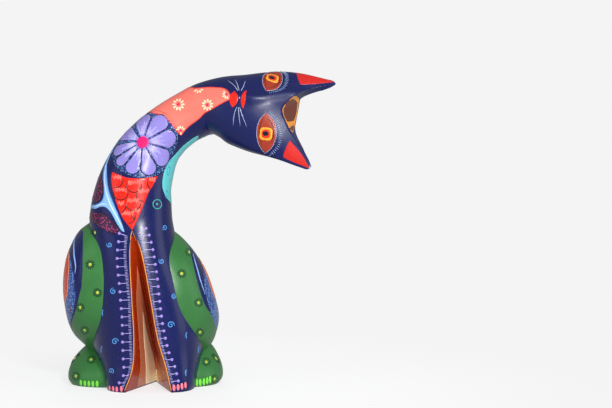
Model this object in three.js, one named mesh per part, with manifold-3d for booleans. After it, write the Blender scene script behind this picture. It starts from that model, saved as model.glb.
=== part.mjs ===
// A seated cat carved in copal wood, with its neck bent over to one side and its head hanging there.
// Millimetres, +Z up. The cat faces -Y, and its head hangs towards +X.
// The figure is built up from carved blocks that meet on glue joints with hidden dowels. The tail plugs in
// behind.
import * as THREE from "three";
import { mergeVertices } from "three/addons/utils/BufferGeometryUtils.js";
import Module from "manifold-3d";

// Glue joints and running gaps
const glueGap = 0.3; // between two carved faces, and round a dowel
const dowelEndGap = 0.6; // air left at the blind end of a dowel's hole

// The sizes below are laid out about the middle of the trunk. The finished figure's origin lies this much
// further back, on the sole behind the cut between the front legs.
const soleCentreY = 28;

// Trunk: the block with the chest and both front legs
const shoulderHeight = 132; // the level glue joint under the neck
const shoulderX = -17; // the trunk leans this far to the cat's right on the way up
const shoulderY = -8;
const shoulderHalfWidth = 32.7;
const shoulderHalfDepth = 31;
const shoulderSquareness = 2.3;
const hipHalfWidth = 45.5;
const chestReach = 44; // from the middle of the trunk to the front
const rumpReach = 54.5; // from the middle of the trunk to the back
const backSquareness = 2.2;

// The cut between the front legs
const chestBridge = 7; // solid wood between the top of the cut and the neck's joint
const grooveTopX = -11.7;
const grooveHalfWidth = 18.3; // of the cut's mouth at the ground
const grooveDepth = 58; // of the cut at the ground
const grooveMouth = 20; // how far in front of the chest the cut is started

// Neck
const neckReach = 63.3; // from the shoulder to the throat, sideways
const neckRise = 89.7; // from the shoulder to the throat, upwards
const neckSway = 2.5; // how far the middle of the neck sways back
const throatAhead = 1; // how far the throat lies ahead of the shoulder
const throatHalfWidth = 21.5;
const throatHalfDepth = 21;

// Head and ears
const headDrop = 9.2; // degrees that the head's axis hangs under the level
const headTurn = 17; // degrees that it comes round to the front
const faceRoll = 23; // degrees that the face is rolled up about that axis
const headLength = 94.5; // throat to ear tips
const faceDepth = 23; // from the head's axis to the bridge of the nose
const napeDepth = 24;
const headBow = 4.3; // how far the brow stands off the straight axis, towards the upper ear
const headBend = 24; // how far into the head its sections go on turning from the throat's plane
const earHalfSpan = 39.4;
const earTipThickness = 4;
const crownHeight = 57.5; // throat to the bottom of the notch between the ears, at the face
const crownOffset = 4; // how far the bottom of the notch lies towards the upper ear
const notchRadius = 11;
const notchHalfAngle = 42; // degrees, of each ear's inner edge from the middle of the notch
const notchLean = 4.5; // degrees that the notch opens towards the lower ear
const crownSlope = 0.45; // how far the crown rises for each millimetre towards the nape

// Hind legs. The cat's own right side is at -X.
const haunchHalfWidth = 34; // of each level section, most of it inside the trunk's outline
const haunchFoot = 20; // the height at which the haunch starts inside the foot
const haunchReach = { right: 72.3, left: 51.3 }; // sideways, from the middle of the trunk
const haunchBelowShoulder = { right: 1.5, left: 4 };
const kneeReach = 36; // from the middle of the trunk to the front
const haunchBack = 52;
const ankleTop = 40;
const footReach = { right: 70.2, left: 54.2 };
const toeReach = 18.5;
const heelReach = 47;

// Dowels
const neckDowelDiameter = 10;
const neckDowelLength = 44;
const neckDowelSpacing = 24;
const headDowelDiameter = 8;
const headDowelLength = 36;
const headDowelSpacing = 17;
const legDowelDiameter = 8;
const legDowelLength = 18;
const legDowelHeights = [62, 80];
const legDowelDepths = [22, 0];

// Tail
const tailX = -4;
const tailRootZ = 22;
const tailRootSink = 4; // how far the root starts inside the trunk's outline, before it is cut to it
const tailPitch = 24; // degrees that the plug's hole rises towards the back
const tailReach = 27; // from the root to the hindmost part of the curve
const tailRise = 112.6; // from the root to the tip
const tailRootRadius = 8.6;
const pegDiameter = 9.6; // at the root, where the plug is thickest
const pegTipDiameter = 8.4;
const pegLength = 24;
const pegLead = 8; // how far the plug runs on inside the tail

// How finely the curved faces are cut
const trunkSides = 48;
const neckSides = 48;
const legSides = 36;
const tailSides = 14;
const dowelSides = 16;
const notchSegments = 10;
const trunkStep = 6;
const headStep = 5;
const legStep = 6;
const grooveStep = 5;
const stepsPerSpan = 3;

const wasm = await Module();
wasm.setup();
const radians = THREE.MathUtils.degToRad;

// Curves through hand-chosen stations

// A smooth curve through rows of [position, value, value, ...]: position in, the other columns out.
// Each column is a share of the length that is given for it.
function smoothTable(shares, lengths) {
  const rows = shares.map((row) => row.map((share, c) => share * lengths[c]));
  const slope = (i, c) => {
    const a = rows[Math.max(i - 1, 0)];
    const b = rows[Math.min(i + 1, rows.length - 1)];
    return (b[c] - a[c]) / (b[0] - a[0]);
  };
  return (at) => {
    let i = 0;
    while (i < rows.length - 2 && at > rows[i + 1][0]) i += 1;
    const span = rows[i + 1][0] - rows[i][0];
    const t = THREE.MathUtils.clamp((at - rows[i][0]) / span, 0, 1);
    return rows[i].slice(1).map((value, k) => {
      const c = k + 1;
      const rise = rows[i + 1][c] - value;
      const s0 = slope(i, c) * span;
      const s1 = slope(i + 1, c) * span;
      return value + t * (s0 + t * (3 * rise - 2 * s0 - s1 + t * (s0 + s1 - 2 * rise)));
    });
  };
}

// Sections and lofts

// A closed section, as [across, ahead] pairs. Squareness 2 is an ellipse, more is boxier and less is keeled.
// The section widens towards the back by its flare, and its front is moved across by its skew.
function carvedSection({ halfWidth, front, back, frontSquareness, squareness, flare = 0, skew = 0, sides }) {
  const points = [];
  for (let i = 0; i < sides; i += 1) {
    const angle = (2 * Math.PI * i) / sides;
    const cosine = Math.cos(angle);
    const sine = Math.sin(angle);
    const power = 2 / (sine >= 0 ? frontSquareness : squareness);
    const ahead = Math.sign(sine) * Math.abs(sine) ** power;
    const across = Math.sign(cosine) * Math.abs(cosine) ** power;
    const width = halfWidth * (1 - flare * ahead);
    points.push([across * width + skew * Math.max(ahead, 0), ahead * (sine >= 0 ? front : back)]);
  }
  return points;
}

// A closed mesh over rings of equal length, with a flat fan on each end.
function loft(rings) {
  const sides = rings[0].length;
  const points = rings.flat();
  const triangles = [];
  for (let r = 0; r + 1 < rings.length; r += 1) {
    for (let i = 0; i < sides; i += 1) {
      const a = r * sides + i;
      const b = r * sides + ((i + 1) % sides);
      triangles.push(a, b, b + sides, a, b + sides, a + sides);
    }
  }
  for (const [ring, start, turn] of [
    [rings[0], 0, true],
    [rings.at(-1), (rings.length - 1) * sides, false],
  ]) {
    const middle = points.length;
    points.push(ring.reduce((sum, p) => sum.add(p), new THREE.Vector3()).divideScalar(sides));
    for (let i = 0; i < sides; i += 1) {
      const a = start + i;
      const b = start + ((i + 1) % sides);
      triangles.push(middle, turn ? b : a, turn ? a : b);
    }
  }
  return new THREE.BufferGeometry().setFromPoints(points).setIndex(triangles);
}

// A geometry as a solid. One that comes out inside out is turned round.
function solid(geometry) {
  const bare = geometry.clone();
  bare.deleteAttribute("normal");
  bare.deleteAttribute("uv");
  const merged = mergeVertices(bare, 1e-4);
  const corners = Array.from(merged.index.array);
  const faces = [];
  for (let i = 0; i < corners.length; i += 3) {
    const [a, b, c] = corners.slice(i, i + 3);
    if (a !== b && b !== c && c !== a) faces.push(a, b, c);
  }
  const make = (list) =>
    new wasm.Manifold(
      new wasm.Mesh({
        numProp: 3,
        vertProperties: merged.attributes.position.array,
        triVerts: Uint32Array.from(list),
      }),
    );
  const made = make(faces);
  return made.volume() > 0 ? made : make(faces.reverse());
}

function geometryOf(manifold) {
  const mesh = manifold.getMesh();
  return new THREE.BufferGeometry()
    .setAttribute("position", new THREE.BufferAttribute(mesh.vertProperties, 3))
    .setIndex(new THREE.BufferAttribute(mesh.triVerts, 1));
}

// A round bar from one point towards another, its two radii given.
function bar(from, direction, length, radius, endRadius = radius) {
  const geometry = new THREE.CylinderGeometry(endRadius, radius, length, dowelSides);
  geometry.translate(0, length / 2, 0);
  const turn = new THREE.Quaternion().setFromUnitVectors(new THREE.Vector3(0, 1, 0), direction);
  return geometry.applyQuaternion(turn).translate(from.x, from.y, from.z);
}

// A dowel across a joint, and the hole it is glued into.
function dowelAcross(centre, direction, diameter, length) {
  const along = (reach) => centre.clone().addScaledVector(direction, -reach);
  const pin = bar(along(length / 2), direction, length, diameter / 2);
  const holeLength = length + 2 * dowelEndGap;
  const hole = bar(along(holeLength / 2), direction, holeLength, diameter / 2 + glueGap);
  return { pin: solid(pin), hole: solid(hole) };
}

// The trunk

// Height, lean to the right, lean to the front, half width, reach to the front, reach to the back, flare,
// skew of the front, squareness of the front
const trunkStations = smoothTable(
  [
    [0, 0.059, 0, 0.769, 0.955, 0.917, 0.02, 0.022, 3.8],
    [0.03, 0.059, 0, 0.802, 0.989, 0.936, 0.03, 0.022, 3.8],
    [0.091, 0.094, 0, 0.835, 0.989, 0.963, 0.06, 0.035, 3.6],
    [0.159, 0.176, 0, 0.901, 0.977, 0.991, 0.12, 0.057, 3.2],
    [0.227, 0.282, 0, 0.967, 0.977, 1, 0.18, 0.077, 3],
    [0.379, 0.353, 0, 1, 0.989, 0.991, 0.2, 0.055, 2.9],
    [0.576, 0.471, 0.125, 0.919, 1, 0.917, 0.16, 0.011, 2.8],
    [0.758, 0.706, 0.375, 0.78, 0.977, 0.752, 0.08, 0, 2.6],
    [0.894, 0.882, 0.75, 0.73, 0.932, 0.569, 0.02, 0, 2.4],
    [
      1,
      1,
      1,
      shoulderHalfWidth / hipHalfWidth,
      (shoulderHalfDepth - shoulderY) / chestReach,
      (shoulderHalfDepth + shoulderY) / rumpReach,
      0,
      0,
      shoulderSquareness,
    ],
  ],
  [shoulderHeight, shoulderX, shoulderY, hipHalfWidth, -chestReach, rumpReach, 1, hipHalfWidth, 1],
);

// One level ring of the trunk's surface, moved outwards by a margin.
function trunkRing(z, margin = 0) {
  const [x, y, halfWidth, front, back, flare, skew, frontSquareness] = trunkStations(z);
  return carvedSection({
    halfWidth: halfWidth + margin,
    front: y - front + margin,
    back: back - y + margin,
    frontSquareness,
    squareness: backSquareness,
    flare,
    skew,
    sides: trunkSides,
  }).map(([across, ahead]) => new THREE.Vector3(x + across, y - ahead, z));
}

function trunkBlock(margin = 0) {
  // a ring close above the sole holds the rounding of the foot's edge
  const levels = [0, trunkStep / 3];
  for (let z = trunkStep; z < shoulderHeight - trunkStep / 2; z += trunkStep) levels.push(z);
  levels.push(shoulderHeight);
  const rings = levels.map((z) => trunkRing(z, margin));
  if (margin > 0) {
    // the envelope also stands a margin past both end faces
    rings.unshift(trunkRing(0, margin).map((p) => p.setZ(-margin)));
    rings.push(trunkRing(shoulderHeight, margin).map((p) => p.setZ(shoulderHeight + margin)));
  }
  return solid(loft(rings));
}

// The cut between the front legs: height, lean to the right, half width at the chest, depth of its inmost
// line
const grooveTop = shoulderHeight - chestBridge;
const grooveStations = smoothTable(
  [
    [0, 0, 1, 1],
    [0.144, -0.111, 0.71, 0.897],
    [0.328, 0.111, 0.486, 0.741],
    [0.576, 0.402, 0.372, 0.483],
    [0.864, 0.761, 0.23, 0.138],
    [1, 1, 0.022, 0.01],
  ],
  [grooveTop, grooveTopX, grooveHalfWidth, grooveDepth],
);

function grooveCutter() {
  const rings = [];
  const steps = Math.round(grooveTop / grooveStep);
  for (let i = -1; i <= steps; i += 1) {
    const z = (i * grooveTop) / steps;
    const [x, halfWidth, depth] = grooveStations(z);
    const [, , , chest] = trunkStations(z);
    const mouth = (halfWidth * (depth + grooveMouth)) / depth;
    rings.push([
      new THREE.Vector3(x - mouth, chest - grooveMouth, z),
      new THREE.Vector3(x + mouth, chest - grooveMouth, z),
      new THREE.Vector3(x, chest + depth, z),
    ]);
  }
  return solid(loft(rings));
}

// The bent neck

const headAxis = new THREE.Vector3(
  Math.cos(radians(headDrop)) * Math.cos(radians(headTurn)),
  -Math.cos(radians(headDrop)) * Math.sin(radians(headTurn)),
  -Math.sin(radians(headDrop)),
);
const up = new THREE.Vector3(0, 0, 1);
const shoulder = new THREE.Vector3(shoulderX, shoulderY, shoulderHeight);
const throat = shoulder.clone().add(new THREE.Vector3(neckReach, -throatAhead, neckRise));
const leadIn = neckRise / 6.4; // the straight run of the centre line before and after the neck

// The centre line's points between shoulder and throat: shares of the reach, the sway and the rise
const neckBend = [
  [0.016, 0, 0.167],
  [0.063, 0, 0.346],
  [0.171, 0.4, 0.541],
  [0.319, 0.8, 0.699],
  [0.502, 1, 0.82],
  [0.733, 0.68, 0.925],
].map(([x, y, z]) => shoulder.clone().add(new THREE.Vector3(x * neckReach, y * neckSway, z * neckRise)));

// The first and last points only set the direction at the two joints.
const neckLine = new THREE.CatmullRomCurve3(
  [
    shoulder.clone().addScaledVector(up, -leadIn),
    shoulder,
    ...neckBend,
    throat,
    throat.clone().addScaledVector(headAxis, leadIn),
  ],
  false,
  "catmullrom",
  0.5,
);
const neckSpans = neckBend.length + 1;
const throatAxis = neckLine.getTangent((neckSpans + 1) / (neckSpans + 2)).normalize();

// Spans along the neck, half width, depth to the front, depth to the back, roll, squareness of the front and
// of the back
const neckStations = smoothTable(
  [
    [0, 1, 1, 1, 0, shoulderSquareness, backSquareness],
    [1, 0.954, 0.952, 0.952, 0.043, 2.25, 2.25],
    [2, 0.875, 0.887, 0.887, 0.13, 2.2, 2.2],
    [3, 0.783, 0.806, 0.806, 0.304, 2.15, 2.15],
    [4, 0.676, 0.742, 0.742, 0.522, 2.1, 2.1],
    [5, 0.621, 0.71, 0.697, 0.696, 2.05, 2.05],
    [6, 0.606, 0.684, 0.677, 0.87, 2, 2],
    [
      neckSpans,
      throatHalfWidth / shoulderHalfWidth,
      throatHalfDepth / shoulderHalfDepth,
      throatHalfDepth / shoulderHalfDepth,
      1,
      2,
      2,
    ],
  ],
  [1, shoulderHalfWidth, shoulderHalfDepth, shoulderHalfDepth, faceRoll, 1, 1],
);

// The across and ahead directions of a section that stands square to the centre line, rolled about it.
function sectionFrame(tangent, roll) {
  const level = new THREE.Vector3(0, -1, 0);
  const ahead = level.addScaledVector(tangent, -level.dot(tangent)).normalize();
  const across = new THREE.Vector3().crossVectors(tangent, ahead);
  const turn = new THREE.Quaternion().setFromAxisAngle(tangent, -radians(roll));
  return { ahead: ahead.applyQuaternion(turn), across: across.applyQuaternion(turn) };
}

function placeSection(section, centre, frame) {
  return section.map(([across, ahead]) =>
    centre.clone().addScaledVector(frame.across, across).addScaledVector(frame.ahead, ahead),
  );
}

function neckRing(t) {
  const [halfWidth, front, back, roll, frontSquareness, squareness] = neckStations(t);
  const at = (t + 1) / (neckSpans + 2);
  const section = carvedSection({ halfWidth, front, back, frontSquareness, squareness, sides: neckSides });
  const frame = sectionFrame(neckLine.getTangent(at).normalize(), roll);
  return placeSection(section, neckLine.getPoint(at), frame);
}

function neckBlock() {
  const rings = [];
  for (let i = 0; i <= neckSpans * stepsPerSpan; i += 1) rings.push(neckRing(i / stepsPerSpan));
  // the glue gap at each end is taken off the neck
  rings[0] = rings[0].map((p) => p.setZ(shoulderHeight + glueGap));
  rings[rings.length - 1] = headRing(0).map((p) => p.addScaledVector(throatAxis, -glueGap));
  return solid(loft(rings));
}

// The head and ears

// Distance from the throat, half width, depth to the face, depth to the nape, squareness of the face and of
// the nape, and the bow towards the upper ear
const headStations = smoothTable(
  [
    [
      0,
      throatHalfWidth / earHalfSpan,
      throatHalfDepth / faceDepth,
      throatHalfDepth / napeDepth,
      2,
      backSquareness,
      0,
    ],
    [0.127, 0.652, 0.983, 0.917, 1.95, 2.2, 0.326],
    [0.254, 0.751, 1, 0.958, 1.8, 2.2, 0.558],
    [0.402, 0.858, 0.913, 1, 1.65, 2.2, 0.86],
    [0.529, 0.919, 0.761, 0.917, 1.6, 2.1, 1],
    [0.635, 0.952, 0.583, 0.688, 1.65, 1.9, 0.907],
    [0.741, 0.972, 0.374, 0.308, 1.7, 1.8, 0.698],
    [0.847, 0.985, 0.217, 0.158, 1.8, 1.9, 0.372],
    [1, 1, earTipThickness / 2 / faceDepth, earTipThickness / 2 / napeDepth, 2, 2, -0.07],
  ],
  [headLength, earHalfSpan, faceDepth, napeDepth, 1, 1, headBow],
);
const headFrame = sectionFrame(headAxis, faceRoll);

function headRing(u) {
  const [halfWidth, front, back, frontSquareness, squareness, bow] = headStations(u);
  const section = carvedSection({ halfWidth, front, back, frontSquareness, squareness, sides: neckSides });
  const centre = throat.clone().addScaledVector(headAxis, u).addScaledVector(headFrame.across, -bow);
  const turned = THREE.MathUtils.smoothstep(u, 0, headBend);
  const axis = throatAxis.clone().lerp(headAxis, turned).normalize();
  return placeSection(section, centre, sectionFrame(axis, faceRoll));
}

function headBlock() {
  const rings = [];
  const steps = Math.round(headLength / headStep);
  for (let i = 0; i <= steps; i += 1) rings.push(headRing((i * headLength) / steps));
  return solid(loft(rings)).subtract(notchCutter());
}

// The rounded V that is sawn out between the ears. It is drawn across the head and runs from face to nape.
function notchCutter() {
  const spread = radians(notchHalfAngle);
  const edge = new THREE.Vector2(notchRadius * Math.cos(spread), -notchRadius * Math.sin(spread));
  const far = new THREE.Vector2(headLength * Math.sin(spread), headLength * Math.cos(spread)).add(edge);
  const shape = new THREE.Shape();
  shape.moveTo(far.x, far.y);
  shape.lineTo(-far.x, far.y);
  shape.lineTo(-edge.x, edge.y);
  shape.absarc(0, 0, notchRadius, Math.PI + spread, 2 * Math.PI - spread, false);
  const options = { depth: headLength, bevelEnabled: false, curveSegments: notchSegments };
  const geometry = new THREE.ExtrudeGeometry(shape, options);
  geometry.rotateZ(-radians(notchLean));
  geometry.translate(-crownOffset, crownHeight + notchRadius, -headLength / 2);
  // across, along the head and ahead, with the crown's slope sheared in
  const place = new THREE.Matrix4().makeBasis(
    headFrame.across,
    headAxis,
    headFrame.ahead.clone().addScaledVector(headAxis, -crownSlope),
  );
  const [, crownDepth] = headStations(crownHeight);
  place.setPosition(throat.clone().addScaledVector(headAxis, crownSlope * crownDepth));
  return solid(geometry.applyMatrix4(place));
}

// The hind legs: a haunch and a foot in one block, carved to fit the trunk's side

// Share of the way up, the outermost reach, the foremost Y, the hindmost Y
const haunchStations = {
  right: smoothTable(
    [
      [0, 0.678, 0.056, 0.885],
      [0.09, 0.802, 0.222, 0.981],
      [0.181, 0.913, 0.528, 1],
      [0.308, 0.972, 0.833, 1],
      [0.525, 1, 1, 0.923],
      [0.724, 0.963, 0.986, 0.75],
      [0.869, 0.88, 0.889, 0.577],
      [0.95, 0.799, 0.667, 0.423],
      [1, 0.698, 0.389, 0.231],
    ],
    [1, haunchReach.right, -kneeReach, haunchBack],
  ),
  left: smoothTable(
    [
      [0, 0.702, 0.111, 0.885],
      [0.093, 0.867, 0.333, 0.981],
      [0.185, 0.955, 0.667, 1],
      [0.315, 1, 0.889, 1],
      [0.463, 0.94, 0.986, 0.942],
      [0.667, 0.795, 0.944, 0.788],
      [0.815, 0.61, 0.861, 0.635],
      [0.917, 0.421, 0.667, 0.481],
      [1, 0.195, 0.333, 0.231],
    ],
    [1, haunchReach.left, -kneeReach, haunchBack],
  ),
};
const footStations = {
  right: smoothTable(
    [
      [0, 0.969, 0.865, 0.936],
      [0.1, 1, 1, 0.979],
      [0.275, 0.997, 0.973, 1],
      [0.5, 0.946, 0.595, 1],
      [0.75, 0.812, -0.054, 0.957],
      [1, 0.598, -0.865, 0.809],
    ],
    [1, footReach.right, -toeReach, heelReach],
  ),
  left: smoothTable(
    [
      [0, 0.941, 0.865, 0.936],
      [0.1, 0.996, 1, 0.979],
      [0.275, 1, 0.973, 1],
      [0.5, 0.941, 0.595, 1],
      [0.75, 0.812, -0.054, 0.979],
      [1, 0.554, -0.865, 0.809],
    ],
    [1, footReach.left, -toeReach, heelReach],
  ),
};

function legRings(stations, side, from, to) {
  const rings = [];
  const count = Math.round((to - from) / legStep);
  for (let i = 0; i <= count; i += 1) {
    const z = from + ((to - from) * i) / count;
    const [outer, front, back] = stations(i / count);
    const middle = (front + back) / 2;
    const section = carvedSection({
      halfWidth: haunchHalfWidth,
      front: middle - front,
      back: back - middle,
      frontSquareness: backSquareness,
      squareness: backSquareness,
      sides: legSides,
    });
    const centreX = side * (outer - haunchHalfWidth);
    rings.push(section.map(([across, ahead]) => new THREE.Vector3(centreX + across, middle - ahead, z)));
  }
  return rings;
}

function hindLeg(name, side, envelope) {
  const haunchTop = shoulderHeight - haunchBelowShoulder[name];
  const haunch = solid(loft(legRings(haunchStations[name], side, haunchFoot, haunchTop)));
  const foot = solid(loft(legRings(footStations[name], side, 0, ankleTop)));
  const parts = haunch.add(foot).subtract(envelope).decompose();
  // whatever stands clear of the trunk on the far side is left out
  const outside = parts.filter((p) => side * (p.boundingBox().max[0] + p.boundingBox().min[0]) > 0);
  return outside.reduce((best, p) => (p.volume() > best.volume() ? p : best));
}

// The tail, with a tapered plug that pushes into the trunk

const tailOut = new THREE.Vector3(0, Math.cos(radians(tailPitch)), Math.sin(radians(tailPitch)));
const [, , , , trunkBackAtTail] = trunkStations(tailRootZ);
const tailRoot = new THREE.Vector3(tailX, trunkBackAtTail - tailRootSink, tailRootZ);
// The centre line past the root: shares of the reach and of the rise, and the radius there
const tailLine = [
  [0, 0, 1],
  [0.37, 0.039, 1.023],
  [0.741, 0.107, 1],
  [0.963, 0.222, 0.953],
  [1, 0.364, 0.907],
  [0.852, 0.515, 0.86],
  [0.63, 0.666, 0.837],
  [0.481, 0.799, 0.837],
  [0.481, 0.897, 0.814],
  [0.63, 0.968, 0.721],
  [0.741, 1, 0.419],
];

function tailBlock(envelope) {
  const along = ([y, z]) => tailRoot.clone().add(new THREE.Vector3(0, y * tailReach, z * tailRise));
  const curve = new THREE.CatmullRomCurve3(tailLine.map(along), false, "catmullrom", 0.5);
  const spans = tailLine.length - 1;
  const radius = smoothTable(
    tailLine.map(([, , share], i) => [i, share]),
    [1, tailRootRadius],
  );
  const across = new THREE.Vector3(1, 0, 0);
  const rings = [];
  for (let i = 0; i <= spans * stepsPerSpan; i += 1) {
    const at = i / (spans * stepsPerSpan);
    const tangent = i === 0 ? tailOut.clone() : curve.getTangent(at).normalize();
    const [r] = radius(i / stepsPerSpan);
    const round = { halfWidth: r, front: r, back: r, frontSquareness: 2, squareness: 2, sides: tailSides };
    const frame = { across, ahead: new THREE.Vector3().crossVectors(across, tangent) };
    rings.push(placeSection(carvedSection(round), curve.getPoint(at), frame));
  }
  return solid(loft(rings)).subtract(envelope).add(tailPlug());
}

// The plug. With a clearance, it is the hole that the plug pushes into.
function tailPlug(clearance = 0, endGap = 0) {
  const start = tailRoot.clone().addScaledVector(tailOut, pegLead);
  const length = pegLead + pegLength + endGap;
  const inwards = tailOut.clone().negate();
  return solid(bar(start, inwards, length, pegDiameter / 2 + clearance, pegTipDiameter / 2 + clearance));
}

// Assembly

const figure = new THREE.Group();

function addPiece(name, manifold, colour, roughness = 0.4) {
  const material = new THREE.MeshStandardMaterial({ color: colour, roughness, metalness: 0 });
  const mesh = new THREE.Mesh(geometryOf(manifold), material);
  mesh.name = name;
  figure.add(mesh);
}

const navy = 0x242c5c;
const green = 0x3f8340;
const bareWood = 0xd9b98c;
const bareWoodRoughness = 0.7;

const neckDowels = [-1, 1].map((side) => {
  const centre = shoulder.clone().setX(shoulderX + (side * neckDowelSpacing) / 2);
  return dowelAcross(centre, up, neckDowelDiameter, neckDowelLength);
});
const throatAcross = sectionFrame(throatAxis, faceRoll).across;
const headDowels = [-1, 1].map((side) => {
  const centre = throat.clone().addScaledVector(throatAcross, (side * headDowelSpacing) / 2);
  return dowelAcross(centre, throatAxis, headDowelDiameter, headDowelLength);
});
const legDowels = [-1, 1].flatMap((side) =>
  legDowelHeights.map((z, i) => {
    const [x, , halfWidth] = trunkStations(z);
    const centre = new THREE.Vector3(x + side * halfWidth, legDowelDepths[i], z);
    return dowelAcross(centre, new THREE.Vector3(1, 0, 0), legDowelDiameter, legDowelLength);
  }),
);

const drilled = (block, dowels) => dowels.reduce((rest, dowel) => rest.subtract(dowel.hole), block);
const envelope = trunkBlock(glueGap);
const cutTrunk = trunkBlock().subtract(grooveCutter());
const trunk = drilled(cutTrunk, [...neckDowels, ...legDowels]).subtract(tailPlug(glueGap, dowelEndGap));

addPiece("trunk", trunk, navy);
addPiece("neck", drilled(neckBlock(), [...neckDowels, ...headDowels]), navy);
addPiece("head", drilled(headBlock(), headDowels), navy);
addPiece("hind_leg_right", drilled(hindLeg("right", -1, envelope), legDowels.slice(0, 2)), green);
addPiece("hind_leg_left", drilled(hindLeg("left", 1, envelope), legDowels.slice(2)), green);
addPiece("tail", tailBlock(envelope), navy);
neckDowels.forEach((dowel, i) => addPiece(`neck_dowel_${i + 1}`, dowel.pin, bareWood, bareWoodRoughness));
headDowels.forEach((dowel, i) => addPiece(`head_dowel_${i + 1}`, dowel.pin, bareWood, bareWoodRoughness));
legDowels.forEach((dowel, i) => addPiece(`leg_dowel_${i + 1}`, dowel.pin, bareWood, bareWoodRoughness));

figure.position.set(0, -soleCentreY, 0);

export default figure;
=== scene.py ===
import random
from contextlib import contextmanager
from math import copysign, cos, floor, hypot, pi, radians, sin, sqrt, tan

import bmesh
import bpy
import numpy as np
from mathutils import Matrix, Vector, geometry
from mathutils.bvhtree import BVHTree
from numpy.linalg import norm


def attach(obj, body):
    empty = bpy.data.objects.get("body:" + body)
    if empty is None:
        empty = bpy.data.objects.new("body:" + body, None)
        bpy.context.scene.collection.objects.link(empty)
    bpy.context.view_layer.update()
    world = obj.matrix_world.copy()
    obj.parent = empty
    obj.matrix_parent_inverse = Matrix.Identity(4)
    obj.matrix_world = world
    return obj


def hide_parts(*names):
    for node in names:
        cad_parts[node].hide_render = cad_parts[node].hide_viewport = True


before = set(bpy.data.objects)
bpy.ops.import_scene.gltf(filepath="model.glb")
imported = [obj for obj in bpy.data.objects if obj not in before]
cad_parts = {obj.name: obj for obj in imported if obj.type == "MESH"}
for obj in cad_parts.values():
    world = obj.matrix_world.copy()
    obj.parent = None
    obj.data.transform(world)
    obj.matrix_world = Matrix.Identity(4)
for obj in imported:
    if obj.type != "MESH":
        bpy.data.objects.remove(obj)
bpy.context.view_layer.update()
scene = bpy.context.scene

# The view. The figure stands on a white table and is photographed with a short telephoto lens from the height
# of its neck. All places in this script are millimetres in the frame of the model until a mesh is made.
photo_width, photo_height = 612, 408
focal_pixels = 1375
camera_place = np.array([122.0, -1128.0, 168.0])
camera_pitch = radians(1.2)
sight = np.array([0.0, cos(camera_pitch), -sin(camera_pitch)])
sight_up = np.array([0.0, sin(camera_pitch), cos(camera_pitch)])
sight_right = np.array([1.0, 0.0, 0.0])
MM = 0.001
lens = bpy.data.cameras.new("view")
lens.sensor_width = 36
lens.lens = focal_pixels / photo_width * lens.sensor_width
lens.clip_start = 0.05
lens.clip_end = 20
camera = bpy.data.objects.new("view", lens)
camera.location = Vector(camera_place * MM)
camera.rotation_euler = (pi / 2 - camera_pitch, 0, 0)
scene.collection.objects.link(camera)
bpy.context.scene.camera = camera

# The room: white paper that runs out under the figure and loses its edge in the pale room. A soft box beside
# the camera gives the varnish its hot spots, wide weak ones on the right and left give it long soft sheens,
# and two matt boards lighten the shadows.
room_white, room_strength = "#F4F4F4", 0.33
paper_glow, paper_bounce = 0.76, 0.5
paper_near, paper_far, paper_reach = 90, 420, 2600


def linear(hex_colour):
    """An sRGB hex colour as linear values with an alpha."""
    parts = [int(hex_colour[i : i + 2], 16) / 255 for i in (1, 3, 5)]
    return [p / 12.92 if p <= 0.04045 else ((p + 0.055) / 1.055) ** 2.4 for p in parts] + [1.0]


def add(tree, kind, inputs=None, **settings):
    """Adds one node. An input is given by its name or number, as a value or as the socket that feeds it."""
    node = tree.nodes.new(kind)
    for name, value in settings.items():
        setattr(node, name, value)
    for name, value in (inputs or {}).items():
        if isinstance(value, bpy.types.NodeSocket):
            tree.links.new(value, node.inputs[name])
        else:
            node.inputs[name].default_value = value
    return node


def empty_material(name):
    material = bpy.data.materials.new(name)
    material.use_nodes = True
    material.node_tree.nodes.clear()
    return material


def make_mesh(name, points, faces, materials):
    """A smooth mesh object from points in millimetres."""
    mesh = bpy.data.meshes.new(name)
    mesh.from_pydata([tuple(p) for p in np.asarray(points, float) * MM], [], faces)
    mesh.validate()
    for material in materials:
        mesh.materials.append(material)
    mesh.shade_smooth()
    made = bpy.data.objects.new(name, mesh)
    scene.collection.objects.link(made)
    return made


def white_paper():
    """Matt white paper, which scatters the light and shows no sheen.

    Near the figure it takes the soft shadow, and further out it turns into the pale of the room."""
    sheet = empty_material("white background paper")
    tree = sheet.node_tree
    path = add(tree, "ShaderNodeLightPath")
    paper = add(tree, "ShaderNodeBsdfDiffuse", {"Color": linear("#9A9A9B")})
    glow = add(tree, "ShaderNodeEmission", {"Color": linear(room_white), "Strength": paper_glow})
    near = add(tree, "ShaderNodeAddShader", {0: paper.outputs[0], 1: glow.outputs[0]})
    far = add(tree, "ShaderNodeEmission", {"Color": linear(room_white), "Strength": 1.0})
    place = add(tree, "ShaderNodeTexCoord")
    reach = add(tree, "ShaderNodeVectorMath", {0: place.outputs["Object"]}, operation="LENGTH")
    share = add(
        tree,
        "ShaderNodeMapRange",
        {"Value": reach.outputs["Value"], "From Min": paper_near * MM, "From Max": paper_far * MM},
        interpolation_type="SMOOTHSTEP",
    )
    seen = add(tree, "ShaderNodeMixShader", {0: share.outputs[0], 1: near.outputs[0], 2: far.outputs[0]})
    bounce = add(tree, "ShaderNodeEmission", {"Color": linear(room_white), "Strength": paper_bounce})
    mixed = add(
        tree,
        "ShaderNodeMixShader",
        {0: path.outputs["Is Camera Ray"], 1: bounce.outputs[0], 2: seen.outputs[0]},
    )
    add(tree, "ShaderNodeOutputMaterial", {"Surface": mixed.outputs[0]})
    return sheet


corners = [(x * paper_reach, y * paper_reach, 0) for x, y in ((-1, -1), (1, -1), (1, 1), (-1, 1))]
paper_sheet = make_mesh("white_paper", corners, [(0, 1, 2, 3)], [white_paper()])

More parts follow.
